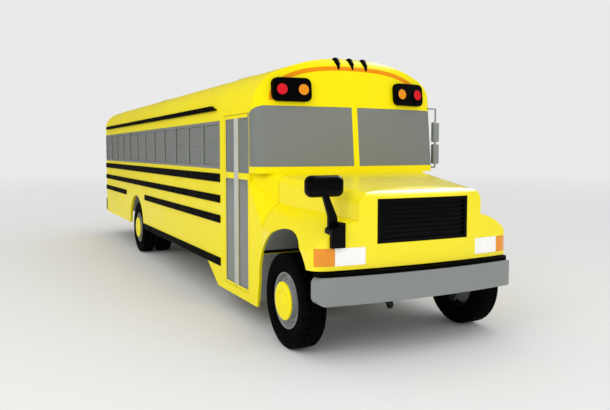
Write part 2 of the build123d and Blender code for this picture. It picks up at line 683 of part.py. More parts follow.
pods = []
red_lamps = []
amber_lamps = []
pod_skin = skin(-POD_PROUD, 0)
lens_skin = skin(-POD_PROUD - LAMP_THICK, -POD_PROUD)
for x_low, x_high in ((ROOF_FRONT_X, FRONT_X), (-FAR, ROOF_REAR_X)):
    for side in (1, -1):
        face = Plane.YZ.offset(x_low) * Pos(side * POD_Y, POD_Z) * RectangleRounded(
            POD_WIDTH, POD_HEIGHT, POD_R)
        pods.append(extrude(face, amount=x_high - x_low) & pod_skin)
        for offset, group in ((-1, amber_lamps), (1, red_lamps)):
            y = side * (POD_Y + offset * LAMP_PITCH / 2)
            group.append(tube_x(y, POD_Z, LAMP_R, x_low, x_high) & lens_skin)

for (y, z, radius), group in ((TAIL_RED, red_lamps), (TAIL_AMBER, amber_lamps)):
    for side in (1, -1):
        group.append(tube_x(side * y, z, radius, BODY_REAR_X - TAIL_PROUD, BODY_REAR_X))
save("red_lamps", red_lamps)
save("amber_lamps", amber_lamps)

roll_z = ROOF_TOP_Z - FRONT_CAP_R
roll_x = SCREEN_X - WINDSHIELD_RAKE * (roll_z - WINDSHIELD_BASE_Z) - FRONT_CAP_R
marker_path_r = FRONT_CAP_R - MARKER_SUNK
for index in (-1, 0, 1):
    beads = [(Vector(roll_x + marker_path_r * sin(radians(angle)), index * MARKER_PITCH,
                     roll_z + marker_path_r * cos(radians(angle))), radius) for angle, radius in MARKER]
    marker = Pos(*beads[0][0]) * Sphere(beads[0][1])
    for (high, high_r), (low, low_r) in zip(beads, beads[1:]):
        taper = Cone(high_r, low_r, (low - high).length, align=(Align.CENTER, Align.CENTER, Align.MIN))
        marker += Plane(origin=high, z_dir=low - high) * taper
        marker += Pos(*low) * Sphere(low_r)
    pods.append(marker - cabin(0))
save("lamp_housings", pods)

mirror_y = HALF + MIRROR_OUT + MIRROR_W / 2
mirror = rod((MIRROR_X, mirror_y, MIRROR_ARM_Z[0]), (MIRROR_X, mirror_y, MIRROR_ARM_Z[1]), MIRROR_ARM_R)
for z in MIRROR_ARM_Z:
    mirror += rod((MIRROR_X, HALF - 60, z), (MIRROR_X, mirror_y, z), MIRROR_ARM_R)
    mirror += Pos(MIRROR_X, mirror_y, z) * Sphere(MIRROR_ARM_R)
for low_z, high_z in MIRROR_HEADS:
    head = box(MIRROR_X - MIRROR_T / 2, MIRROR_X + MIRROR_T / 2, HALF + MIRROR_OUT,
               HALF + MIRROR_OUT + MIRROR_W, low_z, high_z)
    mirror += fillet(head.edges(), 18)
save("mirrors", mirror - cabin(0))

plate = box(BODY_REAR_X - PLATE_T, BODY_REAR_X, -PLATE_W / 2, PLATE_W / 2,
            PLATE_Z - PLATE_H / 2, PLATE_Z + PLATE_H / 2)
save("plate_bracket", plate.cut(*plate_holes))

# ---- Service door: two leaves that swing outwards ------------------------------------------
door_mid_x = (DOOR_FRONT_X + DOOR_REAR_X) / 2
leaves = [
    ("door_rear_leaf", DOOR_REAR_X + GAP, door_mid_x - DOOR_MEETING_GAP / 2, 1),
    ("door_front_leaf", door_mid_x + DOOR_MEETING_GAP / 2, DOOR_FRONT_X - GAP, -1),
]
for node, x_low, x_high, hinge_side in leaves:
    leaf = box(x_low, x_high, -HALF, -HALF + DOOR_T, DOOR_LOW_Z, DOOR_HIGH_Z)
    hole_low = x_low + (DOOR_RAIL if hinge_side > 0 else DOOR_MEETING_STILE)
    hole_high = x_high - (DOOR_MEETING_STILE if hinge_side > 0 else DOOR_RAIL)
    glazing = []
    for low_z, high_z in ((DOOR_LOW_Z + DOOR_RAIL, DOOR_BAR_LOW_Z),
                          (DOOR_BAR_HIGH_Z, DOOR_HIGH_Z - DOOR_RAIL - 10)):
        leaf -= box(hole_low, hole_high, -HALF - 5, -HALF + DOOR_T + 5, low_z, high_z)
        glazing.append(box(hole_low + 1, hole_high - 1, -HALF + 10, -HALF + 10 + GLASS_T,
                           low_z + 1, high_z - 1))
    save(node, [leaf, *glazing])

# ---- Emergency door, hinged on the right -----------------------------------------------------
leaf = box(BODY_REAR_X, BODY_REAR_X + EMERGENCY_T, -emergency_half + GAP, emergency_half - GAP,
           EMERGENCY_LOW_Z + GAP, EMERGENCY_HIGH_Z - GAP)
glazing = []
for low_z, high_z in ((EMERGENCY_LOW_Z + 130, 1560), (WINDOW_LOW_Z, WINDOW_HIGH_Z - 20)):
    reach = emergency_half - EMERGENCY_FRAME
    leaf -= box(-FAR, FAR, -reach, reach, low_z, high_z)
    glazing.append(box(BODY_REAR_X + 12, BODY_REAR_X + 12 + GLASS_T, -reach + 1, reach - 1,
                       low_z + 1, high_z - 1))
handle = box(BODY_REAR_X - 45, BODY_REAR_X - 25, emergency_half - 70, emergency_half - 45,
             1580, 1740)
for z in (1590, 1730):
    handle += tube_x(emergency_half - 57, z, 9, BODY_REAR_X - 30, BODY_REAR_X)
save("emergency_door", [leaf + handle, *glazing])

# ---- Roof hatches ------------------------------------------------------------------------------
hatch_z = HATCH_RIM_Z + GAP
for node, x in hatch_places:
    reach = HATCH_HALF + HATCH_LIP
    lid = box(x - reach, x + reach, -reach, reach, hatch_z, hatch_z + HATCH_T)
    save(node, fillet(lid.edges().group_by(Axis.Z)[-1], 12))

# ---- Stop arm on the left ------------------------------------------------------------------------
blade = Plane((STOP_PIVOT_X - STOP_REACH, STOP_Y, STOP_Z), x_dir=(1, 0, 0), z_dir=(0, 1, 0)) * (
    Rot(0, 0, 22.5) * RegularPolygon(STOP_R / cos(radians(22.5)), 8))
stop_arm = extrude(blade, amount=STOP_T / 2, both=True)
for z in (STOP_Z - 60, STOP_Z + 60):
    stop_arm += box(STOP_PIVOT_X - STOP_REACH, STOP_PIVOT_X, STOP_Y - 6, STOP_Y + 6, z - 14, z + 14)
stop_arm += Pos(STOP_PIVOT_X, STOP_Y, STOP_Z) * Cylinder(14, 200)
save("stop_arm", stop_arm)
left_side += box(STOP_PIVOT_X + 20, STOP_PIVOT_X + 60, HALF - 1, STOP_Y + 14,
                 STOP_Z - 130, STOP_Z + 130)
for z in (STOP_Z - 118, STOP_Z + 118):
    left_side += box(STOP_PIVOT_X - 14, STOP_PIVOT_X + 40, STOP_Y - 14, STOP_Y + 14,
                     z - 12, z + 12)
save("left_side", left_side)

# ---- Hood, grille, lamps and crossview mirror -----------------------------------------------------
hood_skin = hood_outer - hood_inner
hood = hood_skin & box(HOOD_REAR_X, FRONT_X, -FAR, FAR, HOOD_LOW_Z, FAR)
hood -= front_arch
grille_half = GRILLE_WIDTH / 2
grille_zone = box(NOSE_X - 200, FRONT_X, -grille_half, grille_half, GRILLE_LOW_Z, GRILLE_HIGH_Z)
hood -= grille_zone
lamp_zone = []
for side in (1, -1):
    low_y, high_y = sorted((side * LAMP_INNER_Y, side * FAR))
    lamp_zone.append(box(LAMP_REAR_X, FRONT_X, low_y, high_y, LAMP_LOW_Z, LAMP_HIGH_Z))
for zone in lamp_zone:
    hood -= zone
save("hood", hood)

grille = box(NOSE_X - 45, NOSE_X - 12, -grille_half + 1, grille_half - 1,
             GRILLE_LOW_Z + 1, GRILLE_HIGH_Z - 1)
grille -= box(NOSE_X - 60, NOSE_X, -grille_half + GRILLE_FRAME, grille_half - GRILLE_FRAME,
              GRILLE_LOW_Z + GRILLE_FRAME, GRILLE_HIGH_Z - GRILLE_FRAME)
bar_space = (GRILLE_HIGH_Z - GRILLE_LOW_Z - 2 * GRILLE_FRAME) / (GRILLE_BARS + 1)
for index in range(1, GRILLE_BARS + 1):
    z = GRILLE_LOW_Z + GRILLE_FRAME + index * bar_space
    grille += box(NOSE_X - 42, NOSE_X - 18, -grille_half + 10, grille_half - 10,
                  z - GRILLE_BAR_H / 2, z + GRILLE_BAR_H / 2)
grille += box(NOSE_X - 45, NOSE_X - 40, -grille_half + 10, grille_half - 10,
              GRILLE_LOW_Z + 10, GRILLE_HIGH_Z - 10)
save("grille", grille)

lens_layer = hood_form(2) - hood_form(HOOD_T + 10)
white_lamps = []
corner_lamps = []
for side in (1, -1):
    low_y, high_y = sorted((side * (LAMP_INNER_Y + 1), side * (LAMP_SPLIT_Y - 1)))
    white_lamps.append(lens_layer & box(LAMP_REAR_X + 1, FRONT_X, low_y, high_y,
                                        LAMP_LOW_Z + 1, LAMP_HIGH_Z - 1))
    low_y, high_y = sorted((side * (LAMP_SPLIT_Y + 1), side * FAR))
    corner_lamps.append(lens_layer & box(LAMP_REAR_X + 1, FRONT_X, low_y, high_y,
                                         LAMP_LOW_Z + 1, LAMP_HIGH_Z - 1))
save("headlamps", white_lamps)
save("corner_lamps", corner_lamps)

liner_room = hood_form(HOOD_T + 1) & box(HOOD_REAR_X + 2, FRONT_X - 100, -FAR, FAR, LINER_LOW_Z, FAR)
liners = []
for side in (1, -1):
    low_y, high_y = sorted((side * LINER_INNER_Y, side * FAR))
    liner = tube_y(ARCH_X, ARCH_Z, ARCH_R + LINER_T, low_y, high_y)
    liner -= tube_y(ARCH_X, ARCH_Z, ARCH_R, low_y, high_y)
    low_y, high_y = sorted((side * LINER_INNER_Y, side * (LINER_INNER_Y + 15)))
    liner += tube_y(ARCH_X, ARCH_Z, ARCH_R + LINER_T, low_y, high_y)
    liner &= box(0, FRONT_X, -FAR, FAR, HOOD_LOW_Z + 4, FAR)
    liner += box(HOOD_REAR_X + LINER_REAR_GAP, ARCH_X + 0.9 * ARCH_R, low_y, high_y, LINER_LOW_Z, HOOD_LOW_Z + 5)
    liners.append(liner & liner_room)
save("hood_liners", liners)

bowl = box(BOWL_X - 75, BOWL_X + 75, *BOWL_Y, *BOWL_Z)
bowl = fillet(bowl.edges(), BOWL_R)
face_layer = hood_form(-BRACKET_T) - hood_form(-1)
bracket = face_layer & box(NOSE_X - 160, FRONT_X, *BRACKET_Y, LAMP_HIGH_Z + 6, BRACKET_HIGH_Z)
strut = extrude(Plane.YZ.offset(BOWL_X + 35) * make_face(Polyline(*STRUT, close=True)), amount=BRACKET_T)
crossview = bowl.fuse(bracket, strut) - hood_form(-1)
crossview = crossview.solids().sort_by(SortBy.VOLUME)[-1]
save("crossview_mirror", crossview)

# ---- Front bumper, filler and chassis ----------------------------------------------------------------
plan_outer = bowed_plan(FRONT_X, BUMPER_BOW, BUMPER_HALF, 110)
plan_inner = bowed_plan(FRONT_X - BUMPER_T, BUMPER_BOW, BUMPER_HALF - BUMPER_T, 60)
bar = extrude(plan_outer - plan_inner, amount=BUMPER_HIGH_Z - BUMPER_LOW_Z)
bar = Pos(0, 0, BUMPER_LOW_Z) * bar & box(BUMPER_END_X, FRONT_X + 1, -FAR, FAR, 0, FAR)
bumper_mid_z = (BUMPER_LOW_Z + BUMPER_HIGH_Z) / 2
front_view = Plane.YZ.offset(0) * Pos(0, bumper_mid_z) * RectangleRounded(
    2 * (BUMPER_HALF + BUMPER_EDGE_OUT), BUMPER_HIGH_Z - BUMPER_LOW_Z, BUMPER_EDGE_R)
front_bumper = bar & extrude(front_view, amount=FRONT_X + 10)
save("front_bumper", front_bumper)

plan_a = bowed_plan(FRONT_X - 25, BUMPER_BOW, BUMPER_HALF - 20, 110)
plan_b = bowed_plan(FRONT_X - 150, BUMPER_BOW, BUMPER_HALF - 150, 60)
filler = Pos(0, 0, BUMPER_HIGH_Z) * extrude(plan_a - plan_b, amount=HOOD_LOW_Z - 14 - BUMPER_HIGH_Z)
save("bumper_filler", filler & box(BUMPER_END_X, FRONT_X, -FAR, FAR, 0, FAR))


def rear_plan(inset):
    face = Pos(REAR_X + inset, 0) * Rectangle(400, 2 * (HALF + 4 - inset),
                                              align=(Align.MIN, Align.CENTER))
    return fillet(face.vertices().group_by(Axis.X)[0], 130 - inset)


bar = extrude(rear_plan(0) - rear_plan(60), amount=REAR_BUMPER_HIGH_Z - REAR_BUMPER_LOW_Z)
bar = Pos(0, 0, REAR_BUMPER_LOW_Z) * bar & box(REAR_X - 1, SIDE_REAR_X - 4, -FAR, FAR, 0, FAR)
save("rear_bumper", bar)

rail_front_x = NOSE_X - HOOD_T - 75
rail_rear_x = BODY_REAR_X + WALL + 6
rail_mid_z = (RAIL_LOW_Z + RAIL_HIGH_Z) / 2
frame_parts = []
for side in (1, -1):
    web = box(rail_rear_x, rail_front_x, side * RAIL_OUTER_Y - RAIL_T / 2 - side * RAIL_T / 2,
              side * RAIL_OUTER_Y + RAIL_T / 2 - side * RAIL_T / 2, RAIL_LOW_Z, RAIL_HIGH_Z)
    frame_parts.append(web)
    low_y, high_y = sorted((side * RAIL_OUTER_Y, side * (RAIL_OUTER_Y - RAIL_FLANGE)))
    frame_parts.append(box(rail_rear_x, rail_front_x, low_y, high_y, RAIL_LOW_Z, RAIL_LOW_Z + RAIL_T))
    frame_parts.append(box(rail_rear_x, rail_front_x, low_y, high_y, RAIL_HIGH_Z - RAIL_T, RAIL_HIGH_Z))
bow_r = ((BUMPER_HALF - BUMPER_T) ** 2 + BUMPER_BOW ** 2) / (2 * BUMPER_BOW)
bumper_back_x = FRONT_X - BUMPER_T - (bow_r - sqrt(bow_r ** 2 - RAIL_OUTER_Y ** 2))
for side in (1, -1):
    low_y, high_y = sorted((side * RAIL_OUTER_Y, side * (RAIL_OUTER_Y - RAIL_FLANGE)))
    frame_parts.append(box(rail_front_x - 100, bumper_back_x, low_y, high_y,
                           RAIL_LOW_Z, BUMPER_HIGH_Z - 40))
    frame_parts.append(box(REAR_X + 60, rail_rear_x + 100, low_y, high_y,
                           RAIL_LOW_Z, REAR_BUMPER_HIGH_Z - 40))
cross_stations = [REAR_X + 330, REAR_AXLE_X - 700, REAR_AXLE_X, REAR_AXLE_X + 700,
                  REAR_AXLE_X + 2200, REAR_AXLE_X + 3700, REAR_AXLE_X + 5200, FRONT_X - 260]
for x in cross_stations:
    frame_parts.append(box(x - 45, x + 45, -RAIL_OUTER_Y + 5, RAIL_OUTER_Y - 5,
                           rail_mid_z - 60, rail_mid_z + 60))
tow_y = RAIL_OUTER_Y - 40
for x, forward in ((FRONT_X - TOW_SETBACK, 1), (REAR_X + TOW_SETBACK, -1)):
    for side in (1, -1):
        plate_x = sorted((x - forward * 110, x + forward * 5))
        eye = box(plate_x[0], plate_x[1], side * tow_y - TOW_EYE_T / 2, side * tow_y + TOW_EYE_T / 2,
                  TOW_EYE_Z, RAIL_LOW_Z + 5)
        eye += tube_y(x, TOW_EYE_Z, TOW_LUG_R, side * tow_y - TOW_EYE_T / 2,
                      side * tow_y + TOW_EYE_T / 2)
        eye -= tube_y(x, TOW_EYE_Z, TOW_EYE_R, side * tow_y - TOW_EYE_T,
                      side * tow_y + TOW_EYE_T)
        frame_parts.append(eye)
chassis = frame_parts[0].fuse(*frame_parts[1:])
save("chassis_frame", chassis)

# floor's cross sills, which stand on the rails
sills = []
for index in range(SILL_COUNT):
    x = BODY_REAR_X + 350 + index * (FIREWALL_X - BODY_REAR_X - 600) / (SILL_COUNT - 1)
    if abs(x - REAR_AXLE_X) < house_r + SILL_W:
        continue
    half_y = INNER_HALF - 40
    low_y = -half_y
    if DOOR_REAR_X - 80 < x < DOOR_FRONT_X + 80:
        low_y = STEP_INNER_Y + 60
    sills.append(box(x - SILL_W / 2, x + SILL_W / 2, low_y, half_y, RAIL_HIGH_Z, FLOOR_TOP_Z - FLOOR_T))
floor = floor.fuse(*sills)
# laid in three panels: behind the step well, beside it, and before it
FLOOR_PANELS = [
    # rear x, front x, low y, high y
    (BODY_REAR_X, DOOR_REAR_X - SHEET, -FAR, FAR),
    (DOOR_REAR_X - SHEET, FIREWALL_X, STEP_INNER_Y, FAR),
    (DOOR_FRONT_X + SHEET, FIREWALL_X, -FAR, STEP_INNER_Y),
]
save("floor", [floor & box(rear_x, front_x, low_y, high_y, 0, FLOOR_TOP_Z)
               for rear_x, front_x, low_y, high_y in FLOOR_PANELS])

engine_x = FRONT_AXLE_X - 60
save("engine", box(engine_x - ENGINE_L / 2, engine_x + ENGINE_L / 2, -ENGINE_W / 2, ENGINE_W / 2,
                   ENGINE_LOW_Z, ENGINE_LOW_Z + ENGINE_H))
fuel_x = DOOR_REAR_X - 1800
tank = box(fuel_x - TANK_L / 2, fuel_x + TANK_L / 2, -TANK_HALF, -RAIL_OUTER_Y - 20,
           TANK_LOW_Z, TANK_HIGH_Z)
save("fuel_tank", fillet(tank.edges().filter_by(Axis.X), 60))

# ---- Axles, springs and driveshaft ---------------------------------------------------------------------
AXLE_Z = TYRE_R
beam_low = AXLE_Z - 110
front_axle = box(FRONT_AXLE_X - 45, FRONT_AXLE_X + 45, -620, 620, beam_low, beam_low + 100)
for side in (1, -1):
    front_axle += box(FRONT_AXLE_X - 45, FRONT_AXLE_X + 45, *sorted((side * 600, side * 700)),
                      beam_low, AXLE_Z + 45)
    front_axle += box(FRONT_AXLE_X - 45, FRONT_AXLE_X + 45, *sorted((side * 690, side * KINGPIN_Y)),
                      AXLE_Z - 45, AXLE_Z + 45)
    front_axle += Pos(FRONT_AXLE_X, side * KINGPIN_Y, AXLE_Z) * Cylinder(45, 90)
    front_axle -= Pos(FRONT_AXLE_X, side * KINGPIN_Y, AXLE_Z) * Cylinder(
        KINGPIN_R + KINGPIN_TILT_GAP, 200)
save("front_axle", front_axle)

for name, side in (("left", 1), ("right", -1)):
    pin = Pos(FRONT_AXLE_X, side * KINGPIN_Y, AXLE_Z) * Cylinder(KINGPIN_R, 180)
    knuckle = pin
    for z in (AXLE_Z - 72, AXLE_Z + 72):
        knuckle += Pos(FRONT_AXLE_X, side * KINGPIN_Y, z) * Cylinder(45, 40)
        knuckle += box(FRONT_AXLE_X - 40, FRONT_AXLE_X + 40,
                       *sorted((side * KINGPIN_Y, side * (KINGPIN_Y + 72))), z - 20, z + 20)
    knuckle += box(FRONT_AXLE_X - 60, FRONT_AXLE_X + 60,
                   *sorted((side * (KINGPIN_Y + 52), side * (KINGPIN_Y + 72))), AXLE_Z - 92, AXLE_Z + 92)
    spindle = sorted((side * (KINGPIN_Y + 60), side * (FRONT_WHEEL_Y + 60)))
    knuckle += tube_y(FRONT_AXLE_X, AXLE_Z, SPINDLE_R, spindle[0], spindle[1])
    save("front_knuckle_" + name, knuckle)

rear_axle = tube_y(REAR_AXLE_X, AXLE_Z, 75, -520, 520)
rear_axle += tube_y(REAR_AXLE_X, AXLE_Z, SPINDLE_R, -DUAL_OUTER_Y + 40, DUAL_OUTER_Y - 40)
rear_axle += Pos(REAR_AXLE_X, 0, AXLE_Z) * Sphere(215)
driveshaft = rod((REAR_AXLE_X + 200, 0, AXLE_Z + 12),
                 (engine_x - ENGINE_L / 2 - 4, 0, ENGINE_LOW_Z + 80), 50)
save("rear_axle", rear_axle + driveshaft)


def leaf_pack(x, z_low, z_high, y, length, eye_z):
    """Arched spring pack from eye to eye, over or under the axle at x."""
    outline = face_of(
        ThreePointArc((x - length / 2, eye_z), (x, z_high), (x + length / 2, eye_z)),
        Line((x + length / 2, eye_z), (x + length / 2, eye_z - 14)),
        Polyline((x + length / 2, eye_z - 14), (x + 110, z_low), (x - 110, z_low),
                 (x - length / 2, eye_z - 14)),
        Line((x - length / 2, eye_z - 14), (x - length / 2, eye_z)))
    return side_prism(outline, y - 38, y + 38)


# axle's x, length, y, z of the seat on the axle
SPRINGS = [
    (FRONT_AXLE_X, 1240, 480, AXLE_Z - 8),
    (REAR_AXLE_X, 1400, 478, AXLE_Z + 77),
]
springs = []
for x, length, y_centre, perch in SPRINGS:
    for side in (1, -1):
        springs.append(leaf_pack(x, perch, perch + 62, side * y_centre, length, RAIL_LOW_Z - 20))
save("leaf_springs", springs)

pipe_y = RAIL_OUTER_Y + 110
pipe_z = REAR_BUMPER_LOW_Z - TAILPIPE_R - PIPE_DROP
exhaust = tube_x(pipe_y, pipe_z, TAILPIPE_R, REAR_X + 5, REAR_AXLE_X - house_r - 40)
exhaust += tube_x(pipe_y, pipe_z, MUFFLER_R, REAR_AXLE_X - house_r - 1300, REAR_AXLE_X - house_r - 500)
exhaust -= tube_x(pipe_y, pipe_z, TAILPIPE_BORE_R, REAR_X, REAR_X + 300)
save("exhaust", exhaust)

# ---- Wheels -----------------------------------------------------------------------------------------------
# tyre's section: radius, half width
TYRE_PROFILE = [
    (RIM_R + 2, TYRE_W / 2 - 24),
    (RIM_R + 50, TYRE_W / 2 - 4),
    (TYRE_R - 90, TYRE_W / 2),
    (TYRE_R - 30, TYRE_W / 2 - 10),
    (TYRE_R - 5, TYRE_W / 2 - 28),
    (TYRE_R, 0),
]


def ring_y(points, x, y, z):
    """Turn a section of radius and y about the wheel's axle."""
    face = make_face(Polyline(*points, close=True))
    profile = Plane((x, y, z), x_dir=(0, 0, 1), z_dir=(-1, 0, 0)) * face
    return revolve(profile, Axis((x, y, z), (0, 1, 0)), revolution_arc=360)


def tyre(x, y):
    outer = [(r, -w) for r, w in TYRE_PROFILE[:-1]]
    inner = [(r, w) for r, w in reversed(TYRE_PROFILE[:-1])]
    return ring_y(outer + [(TYRE_R, 0)] + inner, x, y, TYRE_R)


def rim(x, y, side, disc_in, hub_out):
    """Rim, disc and hub; disc_in is the disc's place from the wheel's plane, outboard."""
    out = side
    points = [
        (SPINDLE_R + KINGPIN_TILT_GAP, out * (disc_in - 30)),
        (HUB_R, out * (disc_in - 30)),
        (RIM_R - 22, out * (disc_in - 30)),
        (RIM_R - 22, -out * 102),
        (RIM_R + 1, -out * 102),
        (RIM_R + 1, out * 102),
        (RIM_R - 12, out * 102),
        (RIM_R - 22, out * (disc_in)),
        (HUB_R + 4, out * disc_in),
        (HUB_R, out * (hub_out - 25)),
        (HUB_R - 30, out * hub_out),
        (SPINDLE_R + KINGPIN_TILT_GAP, out * hub_out),
    ]
    return ring_y(points, x, y, TYRE_R)


def hub_cap(x, y, side, hub_out):
    return tube_y(x, TYRE_R, SPINDLE_R + 6, *sorted((y + side * (hub_out - 22), y + side * hub_out)))


for name, side in (("left", 1), ("right", -1)):
    save("front_tyre_" + name, tyre(FRONT_AXLE_X, side * FRONT_WHEEL_Y))
    front_rim = rim(FRONT_AXLE_X, side * FRONT_WHEEL_Y, side, 50, HUB_OUT)
    front_rim += hub_cap(FRONT_AXLE_X, side * FRONT_WHEEL_Y, side, HUB_OUT)
    save("front_wheel_" + name, front_rim)
    inner_y = DUAL_OUTER_Y - DUAL_SPACING
    save("rear_tyres_" + name, [tyre(REAR_AXLE_X, side * DUAL_OUTER_Y),
                               tyre(REAR_AXLE_X, side * inner_y)])
    outer_rim = rim(REAR_AXLE_X, side * DUAL_OUTER_Y, side, -20, HUB_OUT)
    outer_rim += hub_cap(REAR_AXLE_X, side * DUAL_OUTER_Y, side, HUB_OUT)
    inner_rim = rim(REAR_AXLE_X, side * inner_y, side, 60, 110)
    bore_r = SPINDLE_R + KINGPIN_TILT_GAP
    spool_in = side * (100 - DUAL_SPACING)
    spool_out = -side * 45
    spool = ring_y([(bore_r, spool_in), (150, spool_in), (150, spool_out), (bore_r, spool_out)],
                   REAR_AXLE_X, side * DUAL_OUTER_Y, TYRE_R)
    save("rear_wheels_" + name, outer_rim.fuse(inner_rim, spool))

# ---- Inside ------------------------------------------------------------------------------
cushions = []
backs = []
for row in range(SEAT_ROWS):
    x = BODY_REAR_X + WALL + 130 + row * SEAT_PITCH
    for side in (1, -1):
        low_y, high_y = sorted((side * (INNER_HALF - 5), side * (INNER_HALF - 5 - SEAT_WIDTH)))
        cushion = box(x + SEAT_BACK_T + 2, x + SEAT_BACK_T + 2 + SEAT_CUSHION_L, low_y, high_y,
                      SEAT_TOP_Z - SEAT_CUSHION_H, SEAT_TOP_Z)
        leg_low, leg_high = sorted((side * (INNER_HALF - 15 - SEAT_WIDTH + 60),
                                    side * (INNER_HALF - 15 - SEAT_WIDTH + 100)))
        for leg_x in (x + SEAT_BACK_T + 20, x + SEAT_BACK_T + SEAT_CUSHION_L - 60):
            cushion += box(leg_x, leg_x + SEAT_LEG, leg_low, leg_high, FLOOR_TOP_Z,
                           SEAT_TOP_Z - SEAT_CUSHION_H)
        cushions.append(cushion)
        backs.append(box(x, x + SEAT_BACK_T, low_y, high_y, SEAT_TOP_Z - SEAT_CUSHION_H,
                         SEAT_BACK_TOP_Z))
save("passenger_seats", cushions + backs)

driver_x = DOOR_REAR_X - 60
driver_base_z = DRIVER_SEAT_Z - 110
half_w = DRIVER_SEAT_W / 2
driver_seat = box(driver_x + 85, driver_x + 92 + DRIVER_SEAT_L, DRIVER_Y - half_w, DRIVER_Y + half_w,
                  driver_base_z, DRIVER_SEAT_Z)
driver_seat += box(driver_x, driver_x + 90, DRIVER_Y - half_w + 10, DRIVER_Y + half_w - 10,
                   driver_base_z, DRIVER_BACK_Z)
driver_seat += Pos(driver_x + 300, DRIVER_Y, (FLOOR_TOP_Z + driver_base_z) / 2) * Cylinder(
    110, driver_base_z - FLOOR_TOP_Z)
save("driver_seat", driver_seat)

dash = box(DOOR_FRONT_X + 15, FIREWALL_X - 5, -INNER_HALF + 220, INNER_HALF - 220,
           DASH_LOW_Z, DASH_SPLIT_Z)
dash += box(DOOR_FRONT_X - 170, DOOR_FRONT_X + 20, 150, INNER_HALF - 30,
            DASH_LOW_Z, DASH_SPLIT_Z - 30)
WHEEL_CENTRE = Vector(DOOR_FRONT_X - 330, DRIVER_Y, 1850)
COLUMN = Vector(-0.5, 0, 0.866).normalized()
column_foot = WHEEL_CENTRE - COLUMN * 420
column_top = WHEEL_CENTRE - COLUMN * 60
dash += rod(tuple(column_foot), tuple(column_top), 34)
save("dashboard", dash)

wheel_plane = Plane(origin=WHEEL_CENTRE, z_dir=COLUMN)
ring = wheel_plane * Torus(STEER_WHEEL_R, STEER_RIM_R)
steering_wheel = ring + wheel_plane * Cylinder(48, 50)
for angle in (90, 210, 330):
    tip = WHEEL_CENTRE + wheel_plane.x_dir * (STEER_WHEEL_R * cos(radians(angle))) \
        + wheel_plane.y_dir * (STEER_WHEEL_R * sin(radians(angle)))
    steering_wheel += rod(tuple(WHEEL_CENTRE), tuple(tip), 11)
save("steering_wheel", steering_wheel)
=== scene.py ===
from math import atan2, cos, pi, radians, sin

import bpy
from mathutils import Matrix, Vector


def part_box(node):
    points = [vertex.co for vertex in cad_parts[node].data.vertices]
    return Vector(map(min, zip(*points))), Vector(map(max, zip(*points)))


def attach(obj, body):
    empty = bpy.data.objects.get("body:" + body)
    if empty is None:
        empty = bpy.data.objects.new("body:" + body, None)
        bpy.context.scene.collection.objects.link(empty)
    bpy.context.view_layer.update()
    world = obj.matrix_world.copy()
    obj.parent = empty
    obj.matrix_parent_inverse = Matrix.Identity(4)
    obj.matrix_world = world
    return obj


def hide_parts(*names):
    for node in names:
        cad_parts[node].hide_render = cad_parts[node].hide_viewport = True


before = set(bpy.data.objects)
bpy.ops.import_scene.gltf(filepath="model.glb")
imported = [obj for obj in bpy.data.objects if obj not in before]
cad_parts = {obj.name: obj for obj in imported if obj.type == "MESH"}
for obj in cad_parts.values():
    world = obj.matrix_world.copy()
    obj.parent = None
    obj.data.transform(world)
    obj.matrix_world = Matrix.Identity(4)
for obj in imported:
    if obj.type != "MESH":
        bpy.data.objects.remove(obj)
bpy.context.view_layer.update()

# The finish of a school bus, and its pieces that are finer than the plain solids. Metres.
# +X is forward, +Y is the bus's left, +Z is up.

# ---- Places read from the frame ----------------------------------------------------------------
RIGHT, LEFT = -1, 1
SIDE_NAMES = {RIGHT: "right", LEFT: "left"}
tyre_low, tyre_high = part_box("front_tyre_right")
rear_low, rear_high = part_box("rear_tyres_right")
TYRE_R = (tyre_high.z - tyre_low.z) / 2
TYRE_W = tyre_high.y - tyre_low.y
FRONT_AXLE_X = (tyre_low.x + tyre_high.x) / 2
REAR_AXLE_X = (rear_low.x + rear_high.x) / 2
FRONT_WHEEL_Y = -(tyre_low.y + tyre_high.y) / 2
DUAL_OUTER_Y = -rear_low.y - TYRE_W / 2
DUAL_INNER_Y = -rear_high.y + TYRE_W / 2
side_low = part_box("right_side")[0]
HALF = -side_low.y
SIDE_REAR_X = side_low.x
WINDOW_LOW_Z, WINDOW_HIGH_Z = 1.770, 2.376
WINDOW_COUNT = 12
PILLAR_REAR_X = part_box("body_rails")[1].x
PANE_PITCH = (PILLAR_REAR_X - SIDE_REAR_X) / WINDOW_COUNT


# ---- Making and shaping pieces -----------------------------------------------------------------
def only(*pieces):
    """Select these pieces alone; the first is active."""
    bpy.ops.object.select_all(action="DESELECT")
    for piece in pieces:
        piece.select_set(True)
    bpy.context.view_layer.objects.active = pieces[0]


def settle(name):
    """Name the new primitive and put its place in its mesh."""
    piece = bpy.context.object
    piece.name = name
    only(piece)
    bpy.ops.object.transform_apply(location=True, rotation=True, scale=True)
    return piece


def block(name, low, high):
    """Box from its lowest to its highest corner."""
    low, high = Vector(low), Vector(high)
    bpy.ops.mesh.primitive_cube_add(size=1, location=(low + high) / 2, scale=high - low)
    return settle(name)


def rod(name, start, end, radius, sides=16, end_radius=None):
    """Round bar, or taper, between two points."""
    start, end = Vector(start), Vector(end)
    line = end - start
    turn = line.to_track_quat("Z", "Y").to_euler()
    bpy.ops.mesh.primitive_cone_add(
        vertices=sides, radius1=radius, radius2=radius if end_radius is None else end_radius,
        depth=line.length, location=(start + end) / 2, rotation=turn)
    return settle(name)


def pick_faces(piece, test):
    """Open a piece in edit mode with just the faces that pass test(centre, normal)."""
    only(piece)
    bpy.ops.object.mode_set(mode="EDIT")
    bpy.ops.mesh.select_mode(type="FACE")
    bpy.ops.mesh.select_all(action="DESELECT")
    bpy.ops.object.mode_set(mode="OBJECT")
    for face in piece.data.polygons:
        face.select = bool(test(face.center, face.normal))
    bpy.ops.object.mode_set(mode="EDIT")


